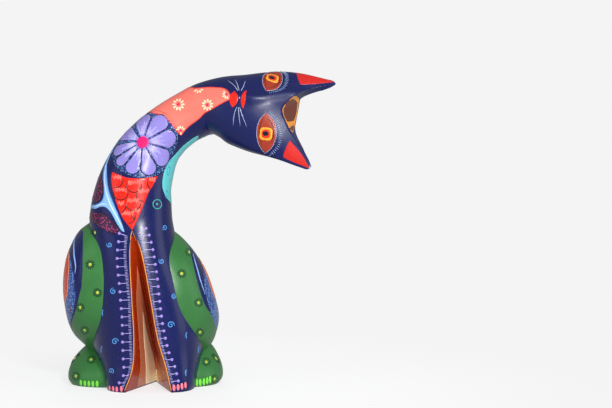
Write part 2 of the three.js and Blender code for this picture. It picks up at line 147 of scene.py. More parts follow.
world = bpy.data.worlds.new("white room")
scene.world = world
world.use_nodes = True
tree = world.node_tree
tree.nodes.clear()
path = add(tree, "ShaderNodeLightPath")
light = add(tree, "ShaderNodeBackground", {"Color": linear("#F2F4F8"), "Strength": room_strength})
seen = add(tree, "ShaderNodeBackground", {"Color": linear(room_white), "Strength": 1.0})
room = add(tree, "ShaderNodeMixShader", {0: path.outputs["Is Camera Ray"], 1: light.outputs[0],
                                         2: seen.outputs[0]})
add(tree, "ShaderNodeOutputWorld", {"Surface": room.outputs[0]})


def soft_lamp(name, place, aim, width, height, watts, matt=False):
    """A square lamp aimed at a place. A matt board gives light but is not mirrored in the varnish."""
    lamp = bpy.data.lights.new(name, "AREA")
    lamp.shape = "RECTANGLE"
    lamp.size = width * MM
    lamp.size_y = height * MM
    lamp.energy = watts
    holder = bpy.data.objects.new(name, lamp)
    holder.location = Vector(place) * MM
    holder.rotation_euler = (Vector(aim) - Vector(place)).to_track_quat("-Z", "Y").to_euler()
    holder.visible_glossy = not matt
    scene.collection.objects.link(holder)


soft_lamp("softbox_key", (430, -1150, 590), (0, -60, 160), width=190, height=110, watts=8.5)
soft_lamp("softbox_top", (240, -680, 880), (60, -60, 200), width=1200, height=700, watts=2.0)
soft_lamp("reflector_low", (60, -1000, 60), (0, -60, 60), width=500, height=260, watts=6, matt=True)
soft_lamp("reflector_back", (-150, 1000, 420), (0, 0, 120), width=800, height=600, watts=5, matt=True)
soft_lamp("window_right", (1200, -200, 320), (20, -20, 130), width=600, height=900, watts=1.8)
soft_lamp("softbox_left", (-900, -700, 500), (0, 0, 100), width=700, height=900, watts=1.2)

# The trunk: the block with the chest and both front legs, carved from copal wood with knife and rasp and
# sanded smooth. Its sections are squared ovals that lean to the cat's right on the way up.
sides = 240
sole_centre_y = 28
shoulder_height = 132
shoulder = np.array([-17.0, -8.0, shoulder_height])
shoulder_half_width, shoulder_half_depth, shoulder_squareness = 32.7, 31, 2.3
hip_half_width, chest_reach, rump_reach, back_squareness = 45.5, 44, 54.5, 2.2
trunk_step = 1.1


def smooth_table(shares, lengths):
    """A smooth curve through rows of shares. The first column is the position, the others come out."""
    rows = np.array(shares, float) * np.array(lengths, float)
    at, values = rows[:, 0], rows[:, 1:]
    slopes = np.empty_like(values)
    slopes[1:-1] = (values[2:] - values[:-2]) / (at[2:] - at[:-2])[:, None]
    slopes[0] = (values[1] - values[0]) / (at[1] - at[0])
    slopes[-1] = (values[-1] - values[-2]) / (at[-1] - at[-2])

    def read(x):
        i = int(np.clip(np.searchsorted(at, x) - 1, 0, len(at) - 2))
        span = at[i + 1] - at[i]
        t = min(max((x - at[i]) / span, 0), 1)
        rise = values[i + 1] - values[i]
        s0, s1 = slopes[i] * span, slopes[i + 1] * span
        return values[i] + t * (s0 + t * (3 * rise - 2 * s0 - s1 + t * (s0 + s1 - 2 * rise)))

    return read


def carved_section(half_width, front, back, front_squareness, squareness, flare=0, skew=0, count=sides):
    """A closed section as rows of (across, ahead), each quarter cut into steps of equal length."""
    angle = np.linspace(0, 2 * np.pi, 1441)
    sine, cosine = np.sin(angle), np.cos(angle)
    sine[np.abs(sine) < 1e-9] = 0
    cosine[np.abs(cosine) < 1e-9] = 0
    power = 2 / np.where(sine >= 0, front_squareness, squareness)
    ahead = np.sign(sine) * np.abs(sine) ** power
    across = np.sign(cosine) * np.abs(cosine) ** power
    fine = np.stack(
        [across * half_width * (1 - flare * ahead) + skew * np.maximum(ahead, 0),
         ahead * np.where(sine >= 0, front, back)],
        axis=1,
    )
    run = np.concatenate([[0], np.cumsum(norm(np.diff(fine, axis=0), axis=1))])
    quarter = (len(angle) - 1) // 4
    points = []
    for q in range(4):
        ends = run[q * quarter], run[(q + 1) * quarter]
        marks = np.linspace(*ends, count // 4 + 1)[:-1]
        points.append(np.stack([np.interp(marks, run, fine[:, k]) for k in (0, 1)], axis=1))
    return np.concatenate(points)


trunk_stations = smooth_table(
    [
        [0, 0.059, 0, 0.769, 0.955, 0.917, 0.02, 0.022, 3.8],
        [0.03, 0.059, 0, 0.802, 0.989, 0.936, 0.03, 0.022, 3.8],
        [0.091, 0.094, 0, 0.835, 0.989, 0.963, 0.06, 0.035, 3.6],
        [0.159, 0.176, 0, 0.901, 0.977, 0.991, 0.12, 0.057, 3.2],
        [0.227, 0.282, 0, 0.967, 0.977, 1, 0.18, 0.077, 3],
        [0.379, 0.353, 0, 1, 0.989, 0.991, 0.2, 0.055, 2.9],
        [0.576, 0.471, 0.125, 0.919, 1, 0.917, 0.16, 0.011, 2.8],
        [0.758, 0.706, 0.375, 0.78, 0.977, 0.752, 0.08, 0, 2.6],
        [0.894, 0.882, 0.75, 0.73, 0.932, 0.569, 0.02, 0, 2.4],
        [1, 1, 1, shoulder_half_width / hip_half_width, (shoulder_half_depth - shoulder[1]) / chest_reach,
         (shoulder_half_depth + shoulder[1]) / rump_reach, 0, 0, shoulder_squareness],
    ],
    [shoulder_height, shoulder[0], shoulder[1], hip_half_width, -chest_reach, rump_reach, 1, hip_half_width,
     1],
)


def trunk_ring(z, margin=0.0):
    """The outline of the trunk at a height, or one that stands off it by a margin."""
    x, y, half_width, front, back, flare, skew, squareness = trunk_stations(z)
    section = carved_section(
        half_width + margin, y - front + margin, back - y + margin, squareness, back_squareness, flare, skew
    )
    return np.stack([x + section[:, 0], y - section[:, 1], np.full(sides, float(z))], axis=1)


trunk_levels = np.linspace(0, shoulder_height, round(shoulder_height / trunk_step) + 1)
trunk_rings = np.array([trunk_ring(z) for z in trunk_levels])

# The neck: a block carved to a bow that swings up and over to the cat's left and turns the face to the front.
# It is glued on the chest, and its section rolls and narrows on the way up.
neck_reach, neck_rise, neck_sway, throat_ahead = 63.3, 89.7, 2.5, 1
throat_half_width, throat_half_depth = 21.5, 21
head_drop, head_turn, face_roll = radians(9.2), radians(17), radians(23)
neck_step = 1.1
head_axis = np.array([cos(head_drop) * cos(head_turn), -cos(head_drop) * sin(head_turn), -sin(head_drop)])
throat = shoulder + np.array([neck_reach, -throat_ahead, neck_rise])
lead_in = neck_rise / 6.4
neck_points = np.array(
    [shoulder - np.array([0, 0, lead_in]), shoulder]
    + [
        shoulder + np.array([x * neck_reach, y * neck_sway, z * neck_rise])
        for x, y, z in ((0.016, 0, 0.167), (0.063, 0, 0.346), (0.171, 0.4, 0.541), (0.319, 0.8, 0.699),
                        (0.502, 1, 0.82), (0.733, 0.68, 0.925))
    ]
    + [throat, throat + head_axis * lead_in]
)
neck_spans = len(neck_points) - 3


def neck_line(t):
    """Place and direction on the centre line, t spans along from the shoulder."""
    i = int(min(floor(t), neck_spans - 1)) + 1
    w = t + 1 - i
    a, b, c, d = neck_points[i - 1], neck_points[i], neck_points[i + 1], neck_points[i + 2]
    s0, s1 = (c - a) / 2, (d - b) / 2
    place = b + w * (s0 + w * (3 * (c - b) - 2 * s0 - s1 + w * (s0 + s1 - 2 * (c - b))))
    slope = s0 + w * (2 * (3 * (c - b) - 2 * s0 - s1) + w * 3 * (s0 + s1 - 2 * (c - b)))
    return place, slope / norm(slope)


def section_frame(tangent, roll):
    """The across and ahead directions of a section square to the tangent, rolled about it."""
    ahead = np.array([0.0, -1.0, 0.0])
    ahead = ahead - tangent * (ahead @ tangent)
    ahead /= norm(ahead)
    across = np.cross(tangent, ahead)
    c, s = cos(-roll), sin(-roll)
    return across * c + np.cross(tangent, across) * s, ahead * c + np.cross(tangent, ahead) * s


def place_section(section, centre, frame_axes):
    across, ahead = frame_axes
    return centre + section[:, :1] * across + section[:, 1:] * ahead


neck_stations = smooth_table(
    [
        [0, 1, 1, 1, 0, shoulder_squareness, back_squareness],
        [1, 0.954, 0.952, 0.952, 0.043, 2.25, 2.25],
        [2, 0.875, 0.887, 0.887, 0.13, 2.2, 2.2],
        [3, 0.783, 0.806, 0.806, 0.304, 2.15, 2.15],
        [4, 0.676, 0.742, 0.742, 0.522, 2.1, 2.1],
        [5, 0.621, 0.71, 0.697, 0.696, 2.05, 2.05],
        [6, 0.606, 0.684, 0.677, 0.87, 2, 2],
        [neck_spans, throat_half_width / shoulder_half_width, throat_half_depth / shoulder_half_depth,
         throat_half_depth / shoulder_half_depth, 1, 2, 2],
    ],
    [1, shoulder_half_width, shoulder_half_depth, shoulder_half_depth, face_roll, 1, 1],
)


def neck_ring(t):
    """The outline of the neck t spans along its centre line."""
    half_width, front, back, roll, front_squareness, squareness = neck_stations(t)
    place, tangent = neck_line(t)
    section = carved_section(half_width, front, back, front_squareness, squareness)
    return place_section(section, place, section_frame(tangent, roll))


neck_length = sum(
    norm(neck_line(t + 0.05)[0] - neck_line(t)[0]) for t in np.arange(0, neck_spans - 0.01, 0.05)
)
neck_rings = np.array([neck_ring(t) for t in np.linspace(0, neck_spans, round(neck_length / neck_step) + 1)])

# The head: carved in one with both ears and glued on the throat. It widens to the brow, is keeled along the
# nose, and runs out into two flat ears.
head_length, face_depth, nape_depth, head_bow, head_bend = 94.5, 23, 24, 4.3, 24
ear_half_span, ear_tip_thickness = 39.4, 4
head_step = 1.05
keel_from, keel_rise, keel_height, keel_half_width = 24, 16, 2.1, 4.8
keel_turn_from, keel_turn_reach, keel_swing = 38, 36, 17
throat_axis = neck_line(neck_spans)[1]
head_stations = smooth_table(
    [
        [0, throat_half_width / ear_half_span, throat_half_depth / face_depth, throat_half_depth / nape_depth,
         2, back_squareness, 0],
        [0.127, 0.652, 0.983, 0.917, 1.95, 2.2, 0.326],
        [0.254, 0.751, 1, 0.958, 1.8, 2.2, 0.558],
        [0.402, 0.858, 0.913, 1, 1.65, 2.2, 0.86],
        [0.529, 0.919, 0.761, 0.917, 1.6, 2.1, 1],
        [0.635, 0.952, 0.583, 0.688, 1.65, 1.9, 0.907],
        [0.741, 0.972, 0.374, 0.308, 1.7, 1.8, 0.698],
        [0.847, 0.985, 0.217, 0.158, 1.8, 1.9, 0.372],
        [1, 1, ear_tip_thickness / 2 / face_depth, ear_tip_thickness / 2 / nape_depth, 2, 2, -0.07],
    ],
    [head_length, ear_half_span, face_depth, nape_depth, 1, 1, head_bow],
)
head_across, _ = section_frame(head_axis, face_roll)


def eased(share):
    return share * share * (3 - 2 * share)


def head_ring(u):
    """The outline of the head at a distance from the throat."""
    half_width, front, back, front_squareness, squareness, bow = head_stations(u)
    section = carved_section(half_width, front, back, front_squareness, squareness)
    along_keel = min(max((u - keel_from) / keel_rise, 0), 1)
    front_side = section[:, 1] > 0
    turn = min(max((u - keel_turn_from) / keel_turn_reach, 0), 1)
    from_keel = section[:, 0] + keel_swing * eased(turn)
    ridge = keel_height * along_keel * np.exp(-((from_keel / keel_half_width) ** 2))
    section[front_side, 1] += ridge[front_side]
    share = min(max(u / head_bend, 0), 1)
    axis = throat_axis + (head_axis - throat_axis) * eased(share)
    axis /= norm(axis)
    centre = throat + head_axis * u - head_across * bow
    return place_section(section, centre, section_frame(axis, face_roll))


head_rings = np.array([head_ring(u) for u in np.linspace(0, head_length, round(head_length / head_step) + 1)])

# All three blocks are sanded together after gluing, so the surface runs over both joints without a step.
# Then the whole is brushed with a navy ground, the last coat but the ornaments, and varnished satin.
spine = np.concatenate([trunk_rings, neck_rings[1:], head_rings[1:]])
joint_rows = (len(trunk_rings) - 1, len(trunk_rings) + len(neck_rings) - 2)
sanded_rows, sanding_passes = 9, 14
for _ in range(sanding_passes):
    softer = spine.copy()
    softer[1:-1] = (spine[:-2] + 2 * spine[1:-1] + spine[2:]) / 4
    for joint in joint_rows:
        for row in range(joint - sanded_rows, joint + sanded_rows + 1):
            share = 0.5 + 0.5 * cos(pi * (row - joint) / (sanded_rows + 1))
            spine[row] += (softer[row] - spine[row]) * share
spine[:, :, 1] -= sole_centre_y


def grid_faces(rows, count, start=0):
    """Quads round a stack of rings."""
    return [
        (start + r * count + i, start + r * count + (i + 1) % count,
         start + (r + 1) * count + (i + 1) % count, start + (r + 1) * count + i)
        for r in range(rows - 1)
        for i in range(count)
    ]


@contextmanager
def opened(made):
    """The points, edges and faces of a piece, opened for a change and then put back."""
    shape = bmesh.new()
    shape.from_mesh(made.data)
    yield shape
    shape.to_mesh(made.data)
    shape.free()


def lofted(name, rings, materials):
    """A closed block over rings, with a flat face on each end."""
    rows, count = rings.shape[:2]
    points = np.concatenate([rings.reshape(-1, 3), rings[0].mean(0)[None], rings[-1].mean(0)[None]])
    low, high, last = rows * count, rows * count + 1, (rows - 1) * count
    faces = grid_faces(rows, count)
    faces += [(low, (i + 1) % count, i) for i in range(count)]
    faces += [(high, last + i, last + (i + 1) % count) for i in range(count)]
    made = make_mesh(name, points, faces, materials)
    with opened(made) as shape:
        bmesh.ops.recalc_face_normals(shape, faces=shape.faces)
    return made


crisp_angle = radians(38)


def soften(made):
    """Smooth shading, with every edge sharper than the crisp angle left crisp."""
    with opened(made) as shape:
        bmesh.ops.triangulate(shape, faces=[f for f in shape.faces if len(f.verts) > 4])
        for face in shape.faces:
            face.smooth = True
        for edge in shape.edges:
            edge.smooth = len(edge.link_faces) == 2 and edge.calc_face_angle(0) < crisp_angle


streak_mm, brush_relief = (0.8, 0.8, 5.0), 0.2


def enamel(name, ground, second=None, pattern="dots", size_mm=(1, 1, 1), share=0.5, roughness=0.24, tone=0.12,
           depth=0.14, source="Object"):
    """Acrylic paint under a satin varnish. The brush leaves fine streaks in the colour and in the gloss.

    A second colour may lie on the ground as dots or as walls between cells, of a size in mm, and the share
    says how much of it. The streaks are drawn coarser than the real 0.2 mm, so that they show."""
    paint = empty_material(name)
    tree = paint.node_tree
    place = add(tree, "ShaderNodeTexCoord")
    per_mm = 1 if source == "UV" else 1 / MM
    drawn_out = [per_mm / length for length in streak_mm]
    stretched = add(tree, "ShaderNodeMapping", {"Vector": place.outputs[source], "Scale": drawn_out})
    streaks = add(tree, "ShaderNodeTexNoise", {"Vector": stretched.outputs[0], "Scale": 1.0, "Detail": 3.0,
                                               "Roughness": 0.6})
    broad = add(tree, "ShaderNodeTexNoise", {"Vector": place.outputs["Object"], "Scale": 45.0, "Detail": 2.0})
    both = add(tree, "ShaderNodeMath", {0: streaks.outputs[0], 1: broad.outputs[0]}, operation="ADD")
    shades = {"From Min": 0.6, "From Max": 1.4, "To Min": 1 - tone, "To Max": 1 + tone}
    shade = add(tree, "ShaderNodeMapRange", {"Value": both.outputs[0], **shades})
    coat = linear(ground)[:3]
    if second:
        spacing = [per_mm / length for length in size_mm]
        spread = add(tree, "ShaderNodeMapping", {"Vector": place.outputs[source], "Scale": spacing})
        spots = add(
            tree,
            "ShaderNodeTexVoronoi",
            {"Vector": spread.outputs[0], "Scale": 1.0, "Randomness": 0.8},
            feature="F1" if pattern == "dots" else "DISTANCE_TO_EDGE",
        )
        edges = {"From Min": share * 0.8, "From Max": share * 1.2, "To Min": 1.0, "To Max": 0.0}
        mask = add(tree, "ShaderNodeMapRange", {"Value": spots.outputs["Distance"], **edges})
        colours = {"Factor": mask.outputs[0], 6: linear(ground), 7: linear(second)}
        coat = add(tree, "ShaderNodeMix", colours, data_type="RGBA").outputs[2]
    base = add(tree, "ShaderNodeVectorMath", {0: coat, "Scale": shade.outputs[0]}, operation="SCALE")
    rubbed = {"From Min": 0.3, "From Max": 0.7, "To Min": roughness * 0.85, "To Max": roughness * 1.2}
    gloss = add(tree, "ShaderNodeMapRange", {"Value": streaks.outputs[0], **rubbed})
    relief = {"Height": streaks.outputs[0], "Strength": depth, "Distance": brush_relief * MM}
    bump = add(tree, "ShaderNodeBump", relief)
    skin = add(
        tree,
        "ShaderNodeBsdfPrincipled",
        {"Base Color": base.outputs[0], "Roughness": gloss.outputs[0], "IOR": 1.5, "Normal": bump.outputs[0]},
    )
    add(tree, "ShaderNodeOutputMaterial", {"Surface": skin.outputs[0]})
    return paint


# Deep navy with small clear highlights and long sheens. On the head the rubbed varnish spreads them.
navy = enamel("navy acrylic under satin varnish", "#091452")
face_navy = enamel("navy acrylic of the head, rubbed to a soft sheen", "#091450", roughness=0.34)

trunk = lofted("trunk_painted", spine[: joint_rows[0] + 1], [navy])
neck = lofted("neck_painted", spine[joint_rows[0] : joint_rows[1] + 1], [navy])
head = lofted("head_painted", spine[joint_rows[1] :], [face_navy])
soften(neck)
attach(neck, "figure")
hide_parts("neck")

# The cut between the front legs: sawn into the trunk from the chest as a wedge and dressed with a knife. It
# is widest at the floor and ends in a point below the shoulders.
chest_bridge, groove_top_x, groove_half_width, groove_depth, groove_mouth = 7, -11.7, 18.3, 58, 20
groove_top = shoulder_height - chest_bridge
groove_stations = smooth_table(
    [[0, 0, 1, 1], [0.144, -0.111, 0.71, 0.897], [0.328, 0.111, 0.486, 0.741], [0.576, 0.402, 0.372, 0.483],
     [0.864, 0.761, 0.23, 0.138], [1, 1, 0.022, 0.01]],
    [groove_top, groove_top_x, groove_half_width, groove_depth],
)
groove_step, groove_below, wall_points = 1.2, 4, 31


def combine(target, tool, operation):
    """Cuts the tool out of the target, or joins it on. The tool is used up."""
    step = target.modifiers.new(operation, "BOOLEAN")
    step.operation = operation
    step.solver = "MANIFOLD"
    step.object = tool
    graph = bpy.context.evaluated_depsgraph_get()
    mesh = bpy.data.meshes.new_from_object(target.evaluated_get(graph))
    target.modifiers.clear()
    target.data = mesh
    bpy.data.objects.remove(tool)


def groove_corners(z):
    """The wedge of the cut at a height: its two corners before the chest and its inmost line."""
    x, half_width, depth = groove_stations(z)
    chest = trunk_stations(z)[3] - sole_centre_y
    mouth = half_width * (depth + groove_mouth) / depth
    return np.array(
        [[x - mouth, chest - groove_mouth, z], [x, chest + depth, z], [x + mouth, chest - groove_mouth, z]]
    )


groove_rings = []
for z in np.linspace(-groove_below, groove_top, round(groove_top / groove_step) + 2):
    left, inmost, right = groove_corners(max(z, 0))
    wall = np.linspace(0, 1, wall_points)[:, None]
    ring = np.concatenate([left + (inmost - left) * wall[:-1], inmost + (right - inmost) * wall])
    ring[:, 2] = z
    groove_rings.append(ring)
combine(trunk, lofted("groove", np.array(groove_rings), [navy]), "DIFFERENCE")
soften(trunk)

# The notch between the ears is cut through from the forehead to the nape with a rasp, a straight stroke from
# each point of its front edge to one of its back edge. Both edges were read off the photograph, in pixels.
notch_front = [(328, 85.6), (320, 87), (311, 88.6), (303, 90.8), (296, 94.5), (289, 98.8), (284, 104),
               (281.2, 109), (281.8, 114.7), (284.7, 121), (288, 128.5), (292.7, 135.4), (297.5, 142),
               (302.5, 149.5), (307.5, 158)]
notch_back = [(328, 88.6), (320, 91), (311, 94), (304, 96.3), (301.5, 98), (300.4, 100), (299.8, 103),
              (299.2, 107), (298, 113), (296.6, 120), (295.2, 127), (296, 134.4), (299.5, 141),
              (303.5, 148.7), (307.7, 157.6)]
notch_beyond, notch_stroke, notch_grain, notch_levels, closing_points = 45, (-30, 45), 1.2, 60, 50
beyond_figure, edge_steps = 2000, 8


def unit(vector):
    return vector / (norm(vector) + 1e-12)


def skin_of(*made):
    """The surface of finished pieces, in millimetres, for reading places off it and laying paint on it."""
    points, faces = [], []
    for piece in made:
        start = len(points)
        points += [v.co / MM for v in piece.data.vertices]
        faces += [[start + i for i in polygon.vertices] for polygon in piece.data.polygons]
    return BVHTree.FromPolygons(points, faces)


def sight_line(px, py):
    """The direction from the camera through a pixel of the photograph."""
    across = (px - photo_width / 2) / focal_pixels
    above = (photo_height / 2 - py) / focal_pixels
    line = sight + sight_right * across + sight_up * above
    return line / norm(line)


def seen_on(skin, pixel, from_behind=False):
    """Place, normal and face of a skin under a pixel, or at the nearest edge of the figure."""
    line = sight_line(*pixel)
    if from_behind:
        hit, normal, face, _ = skin.ray_cast(Vector(camera_place + line * beyond_figure), Vector(-line))
    else:
        hit, normal, face, _ = skin.ray_cast(Vector(camera_place), Vector(line))
    if hit is None:
        near = camera_place + line * abs(camera_place[1])
        for _ in range(edge_steps):
            hit, normal, face, _ = skin.find_nearest(Vector(near))
            near = camera_place + line * (line @ (np.array(hit) - camera_place))
    return np.array(hit), np.array(normal), face


def curve_through(points, step, closed=False):
    """A smooth line through given points, cut into steps."""
    points = np.array(points, float)
    if closed:
        held = np.concatenate([points[-1:], points, points[:2]])
    else:
        held = np.concatenate([[2 * points[0] - points[1]], points, [2 * points[-1] - points[-2]]])
    made = []
    for a, b, c, d in zip(held, held[1:], held[2:], held[3:]):
        count = max(1, round(norm((c - b)[:3]) / step))
        w = (np.arange(count) / count)[:, None]
        square, cube = 2 * a - 5 * b + 4 * c - d, 3 * b - 3 * c + d - a
        made.append(0.5 * (2 * b + w * (c - a) + w**2 * square + w**3 * cube))
    if not closed:
        made.append(points[-1:])
    return np.concatenate(made)


head_skin = skin_of(head)
edge_places = np.array([seen_on(head_skin, pixel)[0] for pixel in notch_front])
edge_backs = np.array([seen_on(head_skin, pixel, True)[0] for pixel in notch_back])
strokes = np.array([unit(way) for way in edge_backs - edge_places])
strokes[1:-1] = (strokes[:-2] + strokes[1:-1] * 2 + strokes[2:]) / 4
for first, second, at in ((0, 1, 0), (-1, -2, len(edge_places) + 1)):
    beyond = edge_places[first] + unit(edge_places[first] - edge_places[second]) * notch_beyond
    edge_places = np.insert(edge_places, at, beyond, axis=0)
    strokes = np.insert(strokes, at, strokes[first], axis=0)
edge = curve_through(np.concatenate([edge_places, strokes], axis=1), step=notch_grain)
closing = np.linspace(0, 1, closing_points)[1:-1, None]
edge = np.concatenate([edge, edge[-1] + (edge[0] - edge[-1]) * closing])
notch_reaches = np.linspace(*notch_stroke, notch_levels)
notch_rings = np.array([edge[:, :3] + edge[:, 3:] * reach for reach in notch_reaches])
combine(head, lofted("notch", notch_rings, [face_navy]), "DIFFERENCE")

# The ends of the ears are rounded off with a file, because a sharp point of soft wood would break away. The
# last millimetres of each are drawn in towards its tip.
tip_round = 4.5
head_start = throat - np.array([0, sole_centre_y, 0])


def past_throat(vertex):
    """A point of the head seen from the throat: its place, how far along and how far across it lies."""
    place = np.array(vertex.co) / MM
    return place, (place - head_start) @ head_axis, (place - head_start) @ head_across


tip_points = [v for v in head.data.vertices if past_throat(v)[1] > head_length - tip_round]
for side in (-1, 1):
    ear = [(v, *past_throat(v)[:2]) for v in tip_points if side * past_throat(v)[2] > 0]
    tip = np.mean([place for _, place, far in ear if far > head_length - 0.2], axis=0)
    for vertex, place, far in ear:
        share = (far - head_length + tip_round) / tip_round
        middle = tip + head_axis * (far - head_length)
        width = sqrt(max(1 - share * share, 0.004))
        vertex.co = Vector((middle + (place - middle) * width) * MM)
soften(head)
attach(head, "figure")
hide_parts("head")

# The hind legs: a haunch and a foot carved in one block and glued to the side of the trunk with two dowels.
# The haunch is a flattened egg, and the foot is drawn out ahead of it.
haunch_half_width, haunch_foot, ankle_top, knee_reach, haunch_back = 34, 20, 40, 36, 52
toe_reach, heel_reach = 18.5, 47
leg_step, leg_sides, inner_clearance = 1.2, 200, 4
hind_legs = {
    "right": {
        "side": -1,
        "below_shoulder": 1.5,
        "haunch_reach": 72.3,
        "foot_reach": 70.2,
        "haunch": [[0, 0.678, 0.056, 0.885], [0.09, 0.802, 0.222, 0.981], [0.181, 0.913, 0.528, 1],
                   [0.308, 0.972, 0.833, 1], [0.525, 1, 1, 0.923], [0.724, 0.963, 0.986, 0.75],
                   [0.869, 0.88, 0.889, 0.577], [0.95, 0.799, 0.667, 0.423], [1, 0.698, 0.389, 0.231]],
        "foot": [[0, 0.969, 0.865, 0.936], [0.1, 1, 1, 0.979], [0.275, 0.997, 0.973, 1],
                 [0.5, 0.946, 0.595, 1], [0.75, 0.812, -0.054, 0.957], [1, 0.598, -0.865, 0.809]],
    },
    "left": {
        "side": 1,
        "below_shoulder": 4,
        "haunch_reach": 51.3,
        "foot_reach": 54.2,
        "haunch": [[0, 0.702, 0.111, 0.885], [0.093, 0.867, 0.333, 0.981], [0.185, 0.955, 0.667, 1],
                   [0.315, 1, 0.889, 1], [0.463, 0.94, 0.986, 0.942], [0.667, 0.795, 0.944, 0.788],
                   [0.815, 0.61, 0.861, 0.635], [0.917, 0.421, 0.667, 0.481], [1, 0.195, 0.333, 0.231]],
        "foot": [[0, 0.941, 0.865, 0.936], [0.1, 0.996, 1, 0.979], [0.275, 1, 0.973, 1],
                 [0.5, 0.941, 0.595, 1], [0.75, 0.812, -0.054, 0.979], [1, 0.554, -0.865, 0.809]],
    },
}


def leg_rings(stations, side, low, high):
    """The outlines of a haunch or a foot from its lower to its upper end."""
    rings = []
    count = round((high - low) / leg_step)
    for i in range(count + 1):
        outer, front, back = stations(i / count)
        middle = (front + back) / 2
        section = carved_section(haunch_half_width, middle - front, back - middle, back_squareness,
                                 back_squareness, count=leg_sides)
        x = side * (outer - haunch_half_width) + section[:, 0]
        z = low + (high - low) * i / count
        rings.append(np.stack([x, middle - section[:, 1] - sole_centre_y, np.full(leg_sides, z)], axis=1))
    return np.array(rings)


# Green put on with a coarser brush: mottled, with wide soft highlights where the varnish is rubbed.
green = enamel("green acrylic under satin varnish", "#347439", roughness=0.34, tone=0.16, depth=0.22)
legs = {}
for name, leg in hind_legs.items():
    top = shoulder_height - leg["below_shoulder"]
    haunch = smooth_table(leg["haunch"], [1, leg["haunch_reach"], -knee_reach, haunch_back])
    foot = smooth_table(leg["foot"], [1, leg["foot_reach"], -toe_reach, heel_reach])
    made = lofted(f"hind_leg_{name}_painted", leg_rings(haunch, leg["side"], haunch_foot, top), [green])
    combine(made, lofted("foot", leg_rings(foot, leg["side"], 0, ankle_top), [green]), "UNION")
    envelope = spine[: joint_rows[0] + 1].copy()
    envelope[0, :, 2] -= 1
    envelope[-1, :, 2] += 1
    combine(made, lofted("envelope", envelope, [green]), "DIFFERENCE")
    with opened(made) as shape:
        loose = [v for v in shape.verts if v.co.x * leg["side"] < inner_clearance * MM]
        bmesh.ops.delete(shape, geom=loose, context="VERTS")
    soften(made)
    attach(made, "figure")
    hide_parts(f"hind_leg_{name}")
    legs[name] = made

# The tail: carved on its own with a taper and a double bend, and painted like the body. It is plugged into a
# hole in the rump on a peg of bare wood, cut in one with it, and pulls off along the peg.
tail_x, tail_root_z, tail_root_sink, tail_pitch = -4, 22, 4, radians(24)
tail_reach, tail_rise, tail_root_radius = 27, 112.6, 8.6
peg_diameter, peg_tip_diameter, peg_length, peg_lead = 9.6, 8.4, 24, 8
fit_gap, peg_end_gap, peg_sides = 0.3, 0.6, 64
tail_sides, tail_rows = 48, 150
tail_root = np.array([tail_x, trunk_stations(tail_root_z)[4] - tail_root_sink - sole_centre_y, tail_root_z])
tail_out = np.array([0, cos(tail_pitch), sin(tail_pitch)])
tail_shares = [[0, 0, 1], [0.37, 0.039, 1.023], [0.741, 0.107, 1], [0.963, 0.222, 0.953], [1, 0.364, 0.907],
               [0.852, 0.515, 0.86], [0.63, 0.666, 0.837], [0.481, 0.799, 0.837], [0.481, 0.897, 0.814],
               [0.63, 0.968, 0.721], [0.741, 1, 0.419]]
tail_stations = smooth_table(
    [[i, y, z, radius] for i, (y, z, radius) in enumerate(tail_shares)],
    [1, tail_reach, tail_rise, tail_root_radius],
)
tail_spans = len(tail_shares) - 1


def tail_ring(t):
    """The outline of the tail t spans along its centre line."""
    before, after = tail_stations(max(t - 0.01, 0)), tail_stations(min(t + 0.01, tail_spans))
    along = np.array([0, *(after - before)[:2]])
    along /= norm(along)
    across = np.array([1.0, 0, 0])
    y, z, radius = tail_stations(t)
    section = carved_section(radius, radius, radius, 2, 2, count=tail_sides)
    return place_section(section, tail_root + np.array([0, y, z]), (across, np.cross(across, along)))


tail_rings = np.array([tail_ring(t) for t in np.linspace(0, tail_spans, tail_rows)])
tail = lofted("tail_painted", tail_rings, [navy])
clear_block = np.array([trunk_ring(z, fit_gap) for z in trunk_levels])
clear_block[:, :, 1] -= sole_centre_y
clear_block[0, :, 2] -= 1
combine(tail, lofted("clear_block", clear_block, [navy]), "DIFFERENCE")
ring_mm, pore_mm = 2.2, 0.35


def bare_copal():
    """Sanded copal wood: pale, with soft growth lines along the length and fine darker pores.

    The pores are drawn coarser than the real 0.15 mm, so that they show."""
    wood = empty_material("sanded copal wood")
    tree = wood.node_tree
    place = add(tree, "ShaderNodeTexCoord")
    layers = []
    for width, length, detail in ((ring_mm, ring_mm * 14, 4.0), (pore_mm, pore_mm * 20, 1.0)):
        scale = (1 / (width * MM), 1 / (width * MM), 1 / (length * MM))
        drawn_out = add(tree, "ShaderNodeMapping", {"Vector": place.outputs["Object"], "Scale": scale})
        noise = add(tree, "ShaderNodeTexNoise", {"Vector": drawn_out.outputs[0], "Scale": 1.0,
                                                 "Detail": detail})
        layers.append(noise.outputs[0])
    both = add(tree, "ShaderNodeMath", {0: layers[0], 1: layers[1]}, operation="ADD")
    shade = add(tree, "ShaderNodeMapRange", {"Value": both.outputs[0], "From Min": 0.75, "From Max": 1.3})
    colours = {"Factor": shade.outputs[0], 6: linear("#DDBF8E"), 7: linear("#B98F58")}
    tint = add(tree, "ShaderNodeMix", colours, data_type="RGBA")
    bump = add(tree, "ShaderNodeBump", {"Height": layers[1], "Strength": 0.2, "Distance": 0.2 * MM})
    skin = add(
        tree,
        "ShaderNodeBsdfPrincipled",
        {"Base Color": tint.outputs[2], "Roughness": 0.62, "IOR": 1.5, "Normal": bump.outputs[0]},
    )
    add(tree, "ShaderNodeOutputMaterial", {"Surface": skin.outputs[0]})
    return wood


# Bare wood, matt and pale, seen on the peg and in its hole when the tail is pulled.
copal = bare_copal()
peg_start = tail_root + tail_out * peg_lead


